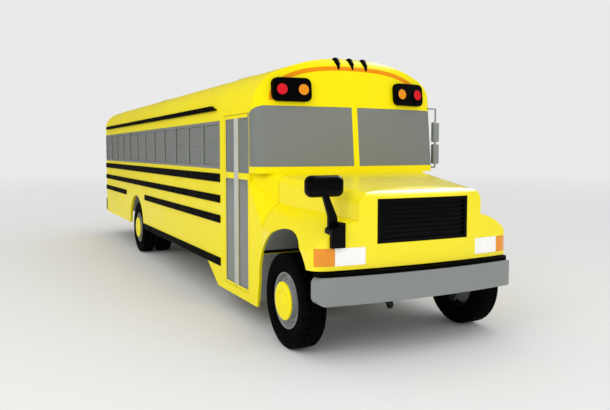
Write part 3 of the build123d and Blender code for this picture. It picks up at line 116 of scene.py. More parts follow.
def pick_edges(piece, test):
    """Open a piece in edit mode with just the edges that pass test(one end, other end)."""
    only(piece)
    bpy.ops.object.mode_set(mode="EDIT")
    bpy.ops.mesh.select_mode(type="EDGE")
    bpy.ops.mesh.select_all(action="DESELECT")
    bpy.ops.object.mode_set(mode="OBJECT")
    points = piece.data.vertices
    for edge in piece.data.edges:
        a, b = edge.vertices
        edge.select = bool(test(points[a].co, points[b].co))
    bpy.ops.object.mode_set(mode="EDIT")


def done():
    bpy.ops.object.mode_set(mode="OBJECT")


def inset(thickness, depth=0.0):
    bpy.ops.mesh.inset(thickness=thickness, depth=depth, use_even_offset=True)


def sink(depth):
    """Extrude the picked faces along their normals; a negative depth goes inwards."""
    bpy.ops.mesh.extrude_region_shrink_fatten(
        TRANSFORM_OT_shrink_fatten={"value": depth})


def cut(piece, point, normal):
    """Cut new edges through the whole piece on a plane, leaving both halves."""
    only(piece)
    bpy.ops.object.mode_set(mode="EDIT")
    bpy.ops.mesh.select_all(action="SELECT")
    bpy.ops.mesh.bisect(plane_co=point, plane_no=normal)
    done()


def modify(piece, kind, **settings):
    """Add a modifier and apply it."""
    only(piece)
    modifier = piece.modifiers.new(kind.title(), kind)
    for key, value in settings.items():
        setattr(modifier, key, value)
    bpy.ops.object.modifier_apply(modifier=modifier.name)
    return piece


def soften(piece, width, segments=2, smooth_deg=40):
    """Round the sharp edges and shade the rest smooth."""
    modify(piece, "BEVEL", width=width, segments=segments, limit_method="ANGLE",
           angle_limit=radians(30))
    return smooth(piece, smooth_deg)


def smooth(piece, degrees=40):
    only(piece)
    bpy.ops.object.shade_smooth_by_angle(angle=radians(degrees))
    return piece


def copy_of(piece, name, move=(0, 0, 0), mirror_y=False):
    """Copy with its own mesh, moved, or mirrored across the centre plane."""
    made = piece.copy()
    made.data = piece.data.copy()
    made.name = name
    bpy.context.scene.collection.objects.link(made)
    if mirror_y:
        made.data.transform(Matrix.Scale(-1, 4, (0, 1, 0)))
        made.data.flip_normals()
    made.data.transform(Matrix.Translation(move))
    return made


def join(name, pieces):
    only(*pieces)
    if len(pieces) > 1:
        bpy.ops.object.join()
    piece = bpy.context.object
    piece.name = name
    return piece


def spun(piece, count, centre, axis, name):
    """Copies of a piece evenly round an axis, joined into one."""
    centre = Vector(centre)
    ring = [piece]
    for index in range(1, count):
        turned = copy_of(piece, name)
        turn = Matrix.Rotation(2 * pi * index / count, 4, Vector(axis))
        turned.data.transform(Matrix.Translation(centre) @ turn @ Matrix.Translation(-centre))
        ring.append(turned)
    return join(name, ring)


def fit(piece, body, finish, slot=None, replaces=()):
    """Give a piece its finish and the body that it rides on."""
    piece.data.materials.clear()
    piece.data.materials.append(finish)
    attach(piece, body)
    if replaces:
        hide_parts(*replaces)
    return piece


# ---- Finishes ----------------------------------------------------------------------------------
def channel(value):
    value /= 255
    return value / 12.92 if value <= 0.04045 else ((value + 0.055) / 1.055) ** 2.4


def tint(red, green, blue):
    """Linear colour of a paint named by its 8-bit values."""
    return (channel(red), channel(green), channel(blue), 1)


def shade(paint, amount):
    return (paint[0] * amount, paint[1] * amount, paint[2] * amount, 1)


YELLOW = tint(255, 237, 0)
GLASS_GREY = tint(141, 145, 141)
BUMPER_GREY = tint(139, 144, 142)
RIM_GREY = tint(157, 160, 159)
ORANGE = tint(240, 147, 1)
RED = tint(224, 0, 25)
LAMP_WHITE = tint(255, 255, 253)
DOOR_STRIP_GREY = tint(198, 199, 194)
BLACK = tint(6, 6, 7)


# the orange stripe over the front lamps runs between two superellipses in front view,
# each by its half width and rise
STRIPE_OUTER = (1.045, 0.435)
STRIPE_INNER = (0.985, 0.385)
STRIPE_FOOT_Z = 2.540
STRIPE_POWER = 2.5
STRIPE_LOW_Z = 2.560
STRIPE_REAR_X = 4.000
# the front wheels are painted black inboard of their discs: painted shade for the dark hollow behind the
# disc
RIM_BACK_Y = 1.100
# the cowl is grey inboard of its outer skin and under the hood's side
ARCH_SKIN_Y = 1.175
ARCH_SKIN_Z = 0.870


class Finish:
    """A node material on object coordinates, built up step by step."""

    def __init__(self, name, paint, roughness, **sockets):
        self.material = bpy.data.materials.new(name)
        self.material.use_nodes = True
        self.tree = self.material.node_tree
        self.shader = self.tree.nodes["Principled BSDF"]
        self.place = self.node("ShaderNodeTexCoord").outputs["Object"]
        self.paint = paint
        self.set("Base Color", paint)
        self.set("Roughness", roughness)
        for key, value in sockets.items():
            self.set(key.replace("_", " ").title().replace("Ior", "IOR"), value)

    def node(self, kind):
        return self.tree.nodes.new(kind)

    def set(self, socket, value):
        self.shader.inputs[socket].default_value = value

    def link(self, start, end):
        self.tree.links.new(start, end)

    def noise(self, scale, detail=3.0, stretch=None):
        made = self.node("ShaderNodeTexNoise")
        made.inputs["Scale"].default_value = scale
        made.inputs["Detail"].default_value = detail
        place = self.place
        if stretch:
            mapping = self.node("ShaderNodeMapping")
            mapping.inputs["Scale"].default_value = stretch
            self.link(place, mapping.inputs["Vector"])
            place = mapping.outputs["Vector"]
        self.link(place, made.inputs["Vector"])
        return made.outputs["Fac"]

    def spread(self, value, low, high, start=0.3, stop=0.7):
        """Bring a noise to a range of values."""
        made = self.node("ShaderNodeMapRange")
        made.inputs["From Min"].default_value = start
        made.inputs["From Max"].default_value = stop
        made.inputs["To Min"].default_value = low
        made.inputs["To Max"].default_value = high
        self.link(value, made.inputs["Value"])
        return made.outputs["Result"]

    def blend(self, factor, first, second):
        """Mix two colours, each a colour or a socket."""
        made = self.node("ShaderNodeMix")
        made.data_type = "RGBA"
        self.link(factor, made.inputs["Factor"])
        for socket, value in ((made.inputs[6], first), (made.inputs[7], second)):
            if isinstance(value, tuple):
                socket.default_value = value
            else:
                self.link(value, socket)
        return made.outputs[2]

    def drift(self, scale, amount, detail=4.0, stretch=None):
        """Let the colour drift a little darker in patches."""
        factor = self.spread(self.noise(scale, detail, stretch), 0, 1)
        self.colour = self.blend(factor, self.paint, shade(self.paint, amount))
        self.link(self.colour, self.shader.inputs["Base Color"])
        return self

    def gloss(self, scale, low, high, stretch=None):
        """Let the roughness change in patches."""
        self.link(self.spread(self.noise(scale, 5.0, stretch), low, high),
                  self.shader.inputs["Roughness"])
        return self

    def relief(self, value, strength, distance):
        made = self.node("ShaderNodeBump")
        made.inputs["Strength"].default_value = strength
        made.inputs["Distance"].default_value = distance
        self.link(value, made.inputs["Height"])
        self.link(made.outputs["Normal"], self.shader.inputs["Normal"])
        return self

    def grain(self, scale, strength, distance, detail=3.0, stretch=None):
        return self.relief(self.noise(scale, detail, stretch), strength, distance)

    def axis(self, name):
        split = self.node("ShaderNodeSeparateXYZ")
        self.link(self.place, split.inputs["Vector"])
        return split.outputs[name]

    def math(self, operation, first, second=None, third=None):
        made = self.node("ShaderNodeMath")
        made.operation = operation
        for socket, value in zip(made.inputs, (first, second, third)):
            if value is None:
                continue
            if isinstance(value, (int, float)):
                socket.default_value = value
            else:
                self.link(value, socket)
        return made.outputs["Value"]

    def within(self, value, low, high):
        """1 where a value lies between two limits, else 0."""
        return self.math("COMPARE", value, (low + high) / 2, (high - low) / 2)

    def repaint(self, factor, paint):
        self.colour = self.blend(factor, self.colour, paint)
        self.link(self.colour, self.shader.inputs["Base Color"])
        return self


def body_paint(name, paint, polish=0.25):
    """Enamel: a faint orange peel, slow changes in colour and gloss."""
    made = Finish(name, paint, 0.3, specular_ior_level=0.4 * polish, coat_weight=0.35 * polish,
                  coat_roughness=0.06)
    made.drift(0.7, 0.965).gloss(2.2, 0.28, 0.42).grain(160, 0.05, 0.0006)
    return made


yellow = body_paint("yellow_enamel", YELLOW)
polished = body_paint("yellow_enamel_polished", YELLOW, 1.0)
banded = body_paint("yellow_enamel_with_grey_band", YELLOW)
band = banded.within(banded.axis("Z"), WINDOW_LOW_Z, WINDOW_HIGH_Z)
corner = banded.math("GREATER_THAN", banded.math("ABSOLUTE", banded.axis("Y")), 1.0)
banded.repaint(banded.math("MULTIPLY", band, corner), GLASS_GREY)

striped = body_paint("yellow_enamel_with_orange_stripe", YELLOW)


def inside_superellipse(half, rise):
    """1 inside the curve over the stripe's foot, else 0."""
    across = striped.math("DIVIDE", striped.axis("Y"), half)
    upward = striped.math("DIVIDE", striped.math("SUBTRACT", striped.axis("Z"), STRIPE_FOOT_Z), rise)
    powers = [striped.math("POWER", striped.math("ABSOLUTE", part), STRIPE_POWER)
              for part in (across, upward)]
    return striped.math("LESS_THAN", striped.math("ADD", *powers), 1.0)


stripe = striped.math("SUBTRACT", inside_superellipse(*STRIPE_OUTER), inside_superellipse(*STRIPE_INNER))
for limit in (striped.math("GREATER_THAN", striped.axis("Z"), STRIPE_LOW_Z),
              striped.math("GREATER_THAN", striped.axis("X"), STRIPE_REAR_X)):
    stripe = striped.math("MULTIPLY", stripe, limit)
striped.repaint(stripe, ORANGE)

# the cowl's sheets are grey inside the wheel arches
arched = body_paint("yellow_enamel_with_grey_arches", YELLOW)
behind = arched.math("LESS_THAN", arched.math("ABSOLUTE", arched.axis("Y")), ARCH_SKIN_Y)
under = arched.math("LESS_THAN", arched.axis("Z"), ARCH_SKIN_Z)
arched.repaint(arched.math("MULTIPLY", behind, under), shade(GLASS_GREY, 0.9))

satin_black = Finish("satin_black", BLACK, 0.6, specular_ior_level=0.03)
satin_black.drift(3.0, 0.8).gloss(5.0, 0.55, 0.72).grain(220, 0.08, 0.0006)
gloss_black = Finish("gloss_black", BLACK, 0.3, specular_ior_level=0.08)
gloss_black.drift(4.0, 0.7).gloss(6.0, 0.16, 0.3)
frame_black = Finish("chassis_black", tint(30, 30, 31), 0.6, specular_ior_level=0.3)
frame_black.drift(2.5, 0.6).gloss(4.0, 0.5, 0.75).grain(90, 0.2, 0.001)
glass = Finish("tinted_glass", GLASS_GREY, 0.06, specular_ior_level=0.3, alpha=0.80)
glass.drift(0.5, 0.94).gloss(1.5, 0.04, 0.10)
sash = Finish("grey_sash", shade(GLASS_GREY, 0.86), 0.4, specular_ior_level=0.35)
sash.drift(2.0, 0.88).gloss(6.0, 0.34, 0.5).grain(300, 0.06, 0.0005)
seal = Finish("black_rubber_seal", tint(34, 35, 35), 0.7, specular_ior_level=0.2)
seal.drift(6.0, 0.7).grain(260, 0.15, 0.0006)
door_rubber = Finish("pale_rubber_seal", DOOR_STRIP_GREY, 0.55, specular_ior_level=0.25)
door_rubber.drift(5.0, 0.92).gloss(8.0, 0.48, 0.66).grain(240, 0.12, 0.0006)
bumper_grey = Finish("bumper_grey", BUMPER_GREY, 0.42, specular_ior_level=0.3)
bumper_grey.drift(1.8, 0.93).gloss(3.0, 0.36, 0.52).grain(180, 0.07, 0.0006)
liner_grey = Finish("wheel_arch_grey", GLASS_GREY, 0.75, specular_ior_level=0.2)
liner_grey.drift(3.0, 0.88).gloss(4.0, 0.65, 0.85).grain(60, 0.25, 0.002)
rim_grey = Finish("wheel_grey", RIM_GREY, 0.4, specular_ior_level=0.35)
rim_grey.drift(5.0, 0.9).gloss(9.0, 0.32, 0.5).grain(260, 0.08, 0.0005)
front_rim = Finish("wheel_grey_with_painted_shade_inboard", RIM_GREY, 0.4, specular_ior_level=0.25)
front_rim.drift(5.0, 0.9).gloss(9.0, 0.32, 0.5).grain(260, 0.08, 0.0005)
# painted shade: the rim's grey steel inboard of RIM_BACK_Y is coloured black, as if in the shade behind the
# disc
front_rim.repaint(front_rim.math("LESS_THAN", front_rim.math("ABSOLUTE", front_rim.axis("Y")),
                                 RIM_BACK_Y), BLACK)
tyre_rubber = Finish("tyre_rubber", BLACK, 0.85, specular_ior_level=0.05)
tyre_rubber.drift(7.0, 0.55).gloss(9.0, 0.78, 0.95).grain(140, 0.25, 0.001)
lamp_red = Finish("red_lens", RED, 0.16, specular_ior_level=0.4, coat_weight=0.5, coat_roughness=0.04)
lamp_red.drift(9.0, 0.93).gloss(12.0, 0.12, 0.24)
lamp_orange = Finish("amber_lens", ORANGE, 0.16, specular_ior_level=0.4, coat_weight=0.5,
                     coat_roughness=0.04)
lamp_orange.drift(9.0, 0.95).gloss(12.0, 0.12, 0.24)
lamp_white = Finish("clear_lens", LAMP_WHITE, 0.1, specular_ior_level=0.5, coat_weight=0.5,
                    coat_roughness=0.03)
lamp_white.drift(8.0, 0.95).gloss(10.0, 0.08, 0.2)
mirror_glass = Finish("mirror_glass", tint(205, 210, 212), 0.04, metallic=1.0)
mirror_glass.gloss(3.0, 0.02, 0.06)
sign_red = Finish("red_enamel", RED, 0.35, specular_ior_level=0.3)
sign_red.drift(3.0, 0.94).gloss(6.0, 0.3, 0.42)
white_enamel = Finish("white_enamel", tint(232, 232, 226), 0.4, specular_ior_level=0.3)
white_enamel.drift(1.5, 0.95).gloss(3.0, 0.36, 0.5).grain(160, 0.05, 0.0006)
bare_metal = Finish("bare_aluminium", tint(196, 198, 200), 0.38, metallic=0.9)
bare_metal.drift(4.0, 0.9).gloss(5.0, 0.3, 0.5, stretch=(1, 1, 14))
pipe_metal = Finish("dull_steel_pipe", tint(132, 126, 120), 0.5, metallic=0.8)
pipe_metal.drift(6.0, 0.7).gloss(7.0, 0.4, 0.65).grain(80, 0.2, 0.001)
casting = Finish("cast_iron", tint(78, 78, 80), 0.8, metallic=0.3)
casting.drift(5.0, 0.7).grain(110, 0.5, 0.002)
vinyl = Finish("seat_vinyl", tint(52, 66, 88), 0.5, specular_ior_level=0.35)
vinyl.drift(3.0, 0.86).gloss(5.0, 0.42, 0.6).grain(320, 0.35, 0.0012, detail=6.0)
floor_cover = Finish("ribbed_floor_rubber", tint(48, 50, 52), 0.7, specular_ior_level=0.25)
floor_cover.drift(2.0, 0.85)
ribs = floor_cover.math("SINE", floor_cover.math("MULTIPLY", floor_cover.axis("Y"), 2 * pi / 0.014))
floor_cover.relief(ribs, 0.4, 0.002)
plate_white = Finish("blank_plate", tint(226, 226, 222), 0.35, specular_ior_level=0.4)
plate_white.drift(10.0, 0.95).gloss(12.0, 0.28, 0.42)

CAD_FINISHES = {
    "left_side": yellow, "right_side": yellow, "roof": yellow, "rear_wall": banded,
    "front_section": striped, "cowl": arched, "hood": polished, "door_rear_leaf": yellow,
    "door_front_leaf": yellow, "emergency_door": yellow, "front_hatch": white_enamel,
    "rear_hatch": white_enamel, "floor": floor_cover, "step_well": floor_cover,
    "rear_wheelhouses": liner_grey, "hood_liners": liner_grey, "body_rails": satin_black,
    "lamp_housings": satin_black, "red_lamps": lamp_red, "amber_lamps": lamp_orange,
    "window_panes": glass, "windshield": glass, "mirrors": bumper_grey, "plate_bracket": plate_white,
    "passenger_seats": vinyl, "driver_seat": vinyl, "dashboard": seal,
    "chassis_frame": frame_black, "engine": casting, "fuel_tank": frame_black,
    "exhaust": pipe_metal, "front_axle": frame_black, "rear_axle": frame_black,
    "leaf_springs": frame_black, "front_bumper": bumper_grey, "bumper_filler": satin_black,
    "rear_bumper": satin_black, "grille": gloss_black, "headlamps": lamp_white,
    "corner_lamps": lamp_orange, "crossview_mirror": gloss_black,
    "front_knuckle_left": frame_black, "front_knuckle_right": frame_black,
    "stop_arm": sign_red, "steering_wheel": seal,
}
for node, finish in CAD_FINISHES.items():
    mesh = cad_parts[node].data
    if mesh.materials:
        for index in range(len(mesh.materials)):
            mesh.materials[index] = finish.material
    else:
        mesh.materials.append(finish.material)


# ---- Camera, lights and floor ------------------------------------------------------------------
CAMERA_PLACE = (10.644, -3.871, 1.994)
CAMERA_HEADING = radians(26.694)      # from the -X direction towards +Y
CAMERA_DIP = radians(3.475)
CAMERA_LENS = 37.55

bpy.ops.object.camera_add(location=CAMERA_PLACE)
camera = bpy.context.object
camera.data.lens = CAMERA_LENS
camera.data.sensor_width = 36
camera.data.shift_y = -0.025
camera.data.clip_end = 500
aim = Vector((-cos(CAMERA_HEADING) * cos(CAMERA_DIP), sin(CAMERA_HEADING) * cos(CAMERA_DIP),
              -sin(CAMERA_DIP)))
camera.rotation_euler = aim.to_track_quat("-Z", "Y").to_euler()
bpy.context.scene.camera = camera


def area_light(name, place, target, size, power, shines=False):
    """Soft rectangular light turned towards a point; one that shines shows in glossy surfaces."""
    turn = (Vector(target) - Vector(place)).to_track_quat("-Z", "Y").to_euler()
    bpy.ops.object.light_add(type="AREA", location=place, rotation=turn)
    light = bpy.context.object
    light.name = name
    light.data.shape = "RECTANGLE"
    light.data.size, light.data.size_y = size
    light.data.energy = power
    light.visible_glossy = shines
    return light


area_light("key_light", (9.5, -11.0, 9.0), (1.0, 0, 1.2), (8.0, 6.0), 380)
area_light("front_light", (15.0, 3.0, 6.0), (4.0, 0, 1.2), (6.0, 5.0), 150)
hood_light = area_light("hood_light", (3.5, 5.5, 7.5), (5.5, 0, 1.6), (5.0, 4.0), 1000, shines=True)
hood_light.visible_diffuse = False

world = bpy.data.worlds.new("studio")
bpy.context.scene.world = world
world.use_nodes = True
sky = world.node_tree
backdrop = sky.nodes["Background"]
backdrop.inputs["Color"].default_value = (1, 1, 1, 1)
SKY_STRENGTH = 0.90         # on matt surfaces
SHINE_STRENGTH = 0.20       # in glossy reflections
BACKDROP_STRENGTH = 0.82    # seen directly or through glass
rays = sky.nodes.new("ShaderNodeLightPath")
seen = sky.nodes.new("ShaderNodeMath")
seen.operation = "MAXIMUM"
sky.links.new(rays.outputs["Is Camera Ray"], seen.inputs[0])
sky.links.new(rays.outputs["Is Transmission Ray"], seen.inputs[1])
level = SKY_STRENGTH
for ray, strength in ((rays.outputs["Is Glossy Ray"], SHINE_STRENGTH),
                      (seen.outputs["Value"], BACKDROP_STRENGTH)):
    mixed = sky.nodes.new("ShaderNodeMapRange")
    if isinstance(level, float):
        mixed.inputs["To Min"].default_value = level
    else:
        sky.links.new(level, mixed.inputs["To Min"])
    mixed.inputs["To Max"].default_value = strength
    sky.links.new(ray, mixed.inputs["Value"])
    level = mixed.outputs["Result"]
sky.links.new(level, backdrop.inputs["Strength"])

FLOOR_R = 70
FLOOR_FADE_START, FLOOR_FADE_END = 12, 45
bpy.ops.mesh.primitive_circle_add(vertices=96, radius=FLOOR_R, fill_type="NGON")
ground = bpy.context.object
ground.name = "studio_floor"
pale = Finish("pale_floor", (0.82, 0.82, 0.82, 1), 0.95, specular_ior_level=0.1)
distance = pale.node("ShaderNodeVectorMath")
distance.operation = "LENGTH"
pale.link(pale.place, distance.inputs[0])
fade = pale.spread(distance.outputs["Value"], 1, 0, FLOOR_FADE_START, FLOOR_FADE_END)
pale.link(fade, pale.shader.inputs["Alpha"])
ground.data.materials.append(pale.material)

settings = bpy.context.scene.view_settings
settings.view_transform = "Standard"


# ---- Tyres -------------------------------------------------------------------------------------
RIM_R = 0.287
TREAD_HALF = TYRE_W / 2 - 0.028
TREAD_R = TYRE_R - 0.002
GROOVE_DEPTH = -0.013
GROOVES = (-0.058, -0.020, 0.020, 0.058)      # across the tread, from its middle
GROOVE_HALF = 0.004
LUG_IN = 0.064                                # shoulder lugs begin here
TREAD_STEPS = 96
# sidewall, from the tread's edge in: inset towards the axle, step outwards
SIDEWALL = [(0.006, 0.009), (0.022, 0.010), (0.030, 0.006), (0.004, 0.003), (0.008, 0.0),
            (0.004, -0.003), (0.050, 0.003), (0.050, -0.012), (0.006, -0.006), (0.020, -0.012)]


def tyre(name, x, y):
    """Radial tyre: ribs round the tread, cross grooves at the shoulders, stepped sidewalls."""
    bpy.ops.mesh.primitive_cylinder_add(vertices=TREAD_STEPS, radius=TREAD_R,
                                        depth=2 * TREAD_HALF, location=(x, y, TYRE_R),
                                        rotation=(pi / 2, 0, 0))
    piece = settle(name)
    for side in (RIGHT, LEFT):
        pick_faces(piece, lambda centre, normal: normal.y * side > 0.9)
        for thickness, depth in SIDEWALL:
            inset(thickness, depth)
        bpy.ops.mesh.delete(type="FACE")
        done()
    bore = TREAD_R - sum(step[0] for step in SIDEWALL)
    pick_edges(piece, lambda a, b: max(abs(Vector((p.x - x, 0, p.z - TYRE_R)).length - bore)
                                       for p in (a, b)) < 0.002)
    bpy.ops.mesh.bridge_edge_loops()
    done()
    for groove in GROOVES:
        for edge in (-GROOVE_HALF, GROOVE_HALF):
            cut(piece, (0, y + groove + edge, 0), (0, 1, 0))

    def in_groove(centre, normal):
        across = centre.y - y
        radial = Vector((centre.x - x, 0, centre.z - TYRE_R)).length
        return radial > TREAD_R - 0.004 and min(abs(across - groove) for groove in GROOVES) < 0.003
    pick_faces(piece, in_groove)
    sink(GROOVE_DEPTH)
    done()

    def in_lug(centre, normal):
        across = abs(centre.y - y)
        radial = Vector((centre.x - x, 0, centre.z - TYRE_R)).length
        step = int(TREAD_STEPS * (atan2(centre.z - TYRE_R, centre.x - x) / (2 * pi) + 1))
        return radial > TREAD_R - 0.006 and across > LUG_IN and step % 3 == 0
    pick_faces(piece, in_lug)
    sink(GROOVE_DEPTH)
    done()
    return smooth(piece, 28)


# ---- Wheels ------------------------------------------------------------------------------------
RIM_HALF = 0.102
HUB_R = 0.195
HUB_OUT = 0.150
HUB_CAP_T = 0.012
HUB_BOLT_RING_R = 0.118
HUB_BOLT_R = 0.009
HUB_BOLT_COUNT = 8
WHEEL_STEPS = 60
HAND_HOLES = 10
HAND_HOLE_RING = (0.21, 0.245)                # inner and outer radius
# outboard of the wheel's middle plane
DISC_OUT = {"front": 0.050, "rear": -0.020, "inner": 0.060}
NUTS_OUT = {"front": 0.058, "rear": -0.012}
BARREL_OUT = {"front": 0.045, "rear": -0.030}
LUG_RING_R = 0.222
LUG_COUNT = 10
LUG_NUT_R, LUG_NUT_L = 0.0125, 0.018
LUG_STUD_R, LUG_STUD_L = 0.006, 0.026
# each row is one inset towards the axle and the step outwards that goes with it
RIM_LIP = [(0.008, 0.0), (0.003, -0.006)]
DISC = [(0.006, -0.004), (0.002, 0.010), (0.056, 0.004)]
HUB_FACE = [(0.010, 0.006), (0.024, 0.002), (0.060, 0.0), (0.004, -0.005), (0.012, 0.0),
            (0.004, 0.006), (0.018, 0.003)]


def disc_wheel(name, x, y, side, disc_out, open_holes=True):
    """Steel rim with its disc; disc_out is the disc's place outboard of the middle plane."""
    bpy.ops.mesh.primitive_cylinder_add(vertices=WHEEL_STEPS, radius=RIM_R - 0.001,
                                        depth=2 * RIM_HALF, location=(x, y, TYRE_R),
                                        rotation=(pi / 2, 0, 0))
    piece = settle(name)
    pick_faces(piece, lambda centre, normal: normal.y * side > 0.9)
    for thickness, depth in (*RIM_LIP, (0.010, 0.006 - (RIM_HALF - disc_out)), *DISC):
        inset(thickness, depth)
    done()
    if open_holes:
        def in_hole(centre, normal):
            radial = Vector((centre.x - x, 0, centre.z - TYRE_R)).length
            step = int(WHEEL_STEPS * (atan2(centre.z - TYRE_R, centre.x - x) / (2 * pi) + 1))
            per_hole = WHEEL_STEPS // HAND_HOLES
            in_ring = HAND_HOLE_RING[0] < radial < HAND_HOLE_RING[1]
            return normal.y * side > 0.8 and in_ring and step % per_hole in (1, 2)
        pick_faces(piece, in_hole)
        inset(0.006, -0.001)
        inset(0.003, -0.03)
        done()
    pick_faces(piece, lambda centre, normal: normal.y * side < -0.9)
    inset(0.010)
    inset(0.012, -(RIM_HALF + disc_out) + 0.035)
    done()
    modify(piece, "BEVEL", width=0.0015, segments=2, limit_method="ANGLE", angle_limit=radians(35))
    return smooth(piece, 35)


def hub_cover(name, x, y, side):
    """Yellow face of the hub with a stepped cap and its bolts."""
    bpy.ops.mesh.primitive_cylinder_add(vertices=64, radius=HUB_R, depth=HUB_CAP_T,
                                        location=(x, y + side * (HUB_OUT - 0.022), TYRE_R),
                                        rotation=(pi / 2, 0, 0))
    piece = settle(name)
    pick_faces(piece, lambda centre, normal: normal.y * side > 0.9)
    for thickness, depth in HUB_FACE:
        inset(thickness, depth)
    done()
    soften(piece, 0.002, 2, 35)
    bolt_out = y + side * (HUB_OUT - 0.006)
    bolt = rod(name + "_bolt", (x + HUB_BOLT_RING_R, bolt_out, TYRE_R),
               (x + HUB_BOLT_RING_R, bolt_out + side * 0.005, TYRE_R), HUB_BOLT_R, 6)
    bolts = spun(bolt, HUB_BOLT_COUNT, (x, y, TYRE_R), (0, 1, 0), name + "_bolts")
    return join(name, [piece, bolts])


def hub_barrel(name, x, y, side, start):
    """Grey drum that carries the hub's face out from the disc."""
    drum = rod(name, (x, y + side * start, TYRE_R), (x, y + side * (HUB_OUT - 0.020), TYRE_R),
               HUB_R - 0.002, 64)
    return soften(drum, 0.003, 2)


def lug_nuts(name, x, y, side, out):
    """Ring of hexagon nuts on their studs."""
    foot, nut_x = y + side * out, x + LUG_RING_R
    top = foot + side * LUG_NUT_L
    nut = rod(name, (nut_x, foot, TYRE_R), (nut_x, top, TYRE_R), LUG_NUT_R, 6)
    stud = rod(name + "_stud", (nut_x, top, TYRE_R), (nut_x, foot + side * LUG_STUD_L, TYRE_R),
               LUG_STUD_R, 10)
    soften(nut, 0.001, 1)
    return spun(join(name, [nut, stud]), LUG_COUNT, (x, y, TYRE_R), (0, 1, 0), name)


for side in (RIGHT, LEFT):
    word = SIDE_NAMES[side]
    wheel_body = "front_wheel_" + word
    y = side * FRONT_WHEEL_Y
    fit(tyre("tyre_front_" + word, FRONT_AXLE_X, y), wheel_body, tyre_rubber.material,
        "tyre_rubber", ["front_tyre_" + word])
    rim = disc_wheel("rim_front_" + word, FRONT_AXLE_X, y, side, DISC_OUT["front"])
    nuts = lug_nuts("nuts_front_" + word, FRONT_AXLE_X, y, side, NUTS_OUT["front"])
    barrel = hub_barrel("barrel_front_" + word, FRONT_AXLE_X, y, side, BARREL_OUT["front"])
    fit(join("rim_front_" + word, [rim, nuts, barrel]), wheel_body, front_rim.material, "wheel_steel",
        ["front_wheel_" + word])
    fit(hub_cover("hub_front_" + word, FRONT_AXLE_X, y, side), wheel_body, yellow.material,
        "yellow_paint")

    wheel_body = "rear_wheel_" + word
    outer_y, inner_y = side * DUAL_OUTER_Y, side * DUAL_INNER_Y
    twins = [tyre("tyre_outer_" + word, REAR_AXLE_X, outer_y),
             tyre("tyre_inner_" + word, REAR_AXLE_X, inner_y)]
    fit(join("tyres_rear_" + word, twins), wheel_body, tyre_rubber.material, "tyre_rubber",
        ["rear_tyres_" + word])
    rim = disc_wheel("rim_rear_" + word, REAR_AXLE_X, outer_y, side, DISC_OUT["rear"])
    inner_rim = disc_wheel("rim_inner_" + word, REAR_AXLE_X, inner_y, side, DISC_OUT["inner"],
                           open_holes=False)
    nuts = lug_nuts("nuts_rear_" + word, REAR_AXLE_X, outer_y, side, NUTS_OUT["rear"])
    barrel = hub_barrel("barrel_rear_" + word, REAR_AXLE_X, outer_y, side, BARREL_OUT["rear"])
    fit(join("rim_rear_" + word, [rim, inner_rim, nuts, barrel]), wheel_body, rim_grey.material,
        "wheel_steel", ["rear_wheels_" + word])
    fit(hub_cover("hub_rear_" + word, REAR_AXLE_X, outer_y, side), wheel_body, yellow.material,
        "yellow_paint")


# ---- Side windows: a grey sash in each opening, frame to frame ---------------------------------
SASH_PROUD = 0.006
SASH_RIM = 0.040
SASH_MID_Z = 2.085
SASH_BAR_HALF = 0.011


def sash_frame(name, x_low, x_high, z_low, z_high):
    """Frame with round corners, and a lower bar where the upper pane drops down behind it."""
    plate = block(name, (x_low, -HALF - SASH_PROUD, z_low), (x_high, -HALF + 0.004, z_high))
    pick_faces(plate, lambda centre, normal: abs(normal.y) > 0.9)
    inset(SASH_RIM)
    bpy.ops.mesh.bridge_edge_loops()
    done()
    soften(plate, 0.002, 2)
    bar = block(name + "_bar", (x_low + SASH_RIM - 0.002, -HALF + 0.001, SASH_MID_Z - SASH_BAR_HALF),
                (x_high - SASH_RIM + 0.002, -HALF + 0.007, SASH_MID_Z + SASH_BAR_HALF))
    soften(bar, 0.003, 2)
    return join(name, [plate, bar])


pattern = sash_frame("right_sashes", SIDE_REAR_X, SIDE_REAR_X + PANE_PITCH,
                     WINDOW_LOW_Z, WINDOW_HIGH_Z)
row = [pattern]
for index in range(1, WINDOW_COUNT):
    row.append(copy_of(pattern, "sash", (index * PANE_PITCH, 0, 0)))
right_sashes = join("right_sashes", row)
left_sashes = copy_of(right_sashes, "left_sashes", mirror_y=True)
fit(right_sashes, "bus", sash.material, "black_plastic")
fit(left_sashes, "bus", sash.material, "black_plastic")


# ---- Panels with windows -----------------------------------------------------------------------
def ring_frame(name, low, high, rim, axis, round_by=0.002):
    """Flat frame that is open along one axis, 0 for x or 1 for y."""
    piece = block(name, low, high)
    pick_faces(piece, lambda centre, normal: abs(normal[axis]) > 0.9)
    inset(rim)
    bpy.ops.mesh.bridge_edge_loops()
    done()
    return soften(piece, round_by, 2)


def bars(name, spans, across, axis, round_by=0.004):
    """Bars that make up a panel. Columns of spans: low and high along, low and high z."""
    made = []
    for low, high, z_low, z_high in spans:
        if axis == 1:
            made.append(block(name, (low, across[0], z_low), (high, across[1], z_high)))
        else:
            made.append(block(name, (across[0], low, z_low), (across[1], high, z_high)))
    return soften(join(name, made), round_by, 2)


# ---- Service door: two leaves, each with two panes and a pale rubber edge where they meet ------
DOOR_RAIL = 0.032
DOOR_STILE = 0.060
DOOR_T = 0.040
DOOR_HEAD = 0.042
# places inboard of the side's face
DOOR_PANE_IN = (0.010, 0.020)
DOOR_GASKET_IN = (0.002, 0.012)
DOOR_SEAL_IN = (-0.007, 0.004)
DOOR_PULL_IN = 0.055
DOOR_PULL_FOOT_IN = 0.018
PANE_LAP = 0.004
DOOR_GASKET_LAP, DOOR_GASKET_RIM = 0.002, 0.008
DOOR_SEAL_EDGES = (0.056, -0.0035)            # from the leaf's free edge
DOOR_PULL_FROM_EDGE = 0.085
DOOR_PULL_Z = (1.00, 1.45)
DOOR_PULL_R = 0.012
DOOR_PULL_FOOT_R = 0.008
CROSSBAR_LOW_Z, CROSSBAR_HIGH_Z = 1.665, 1.740


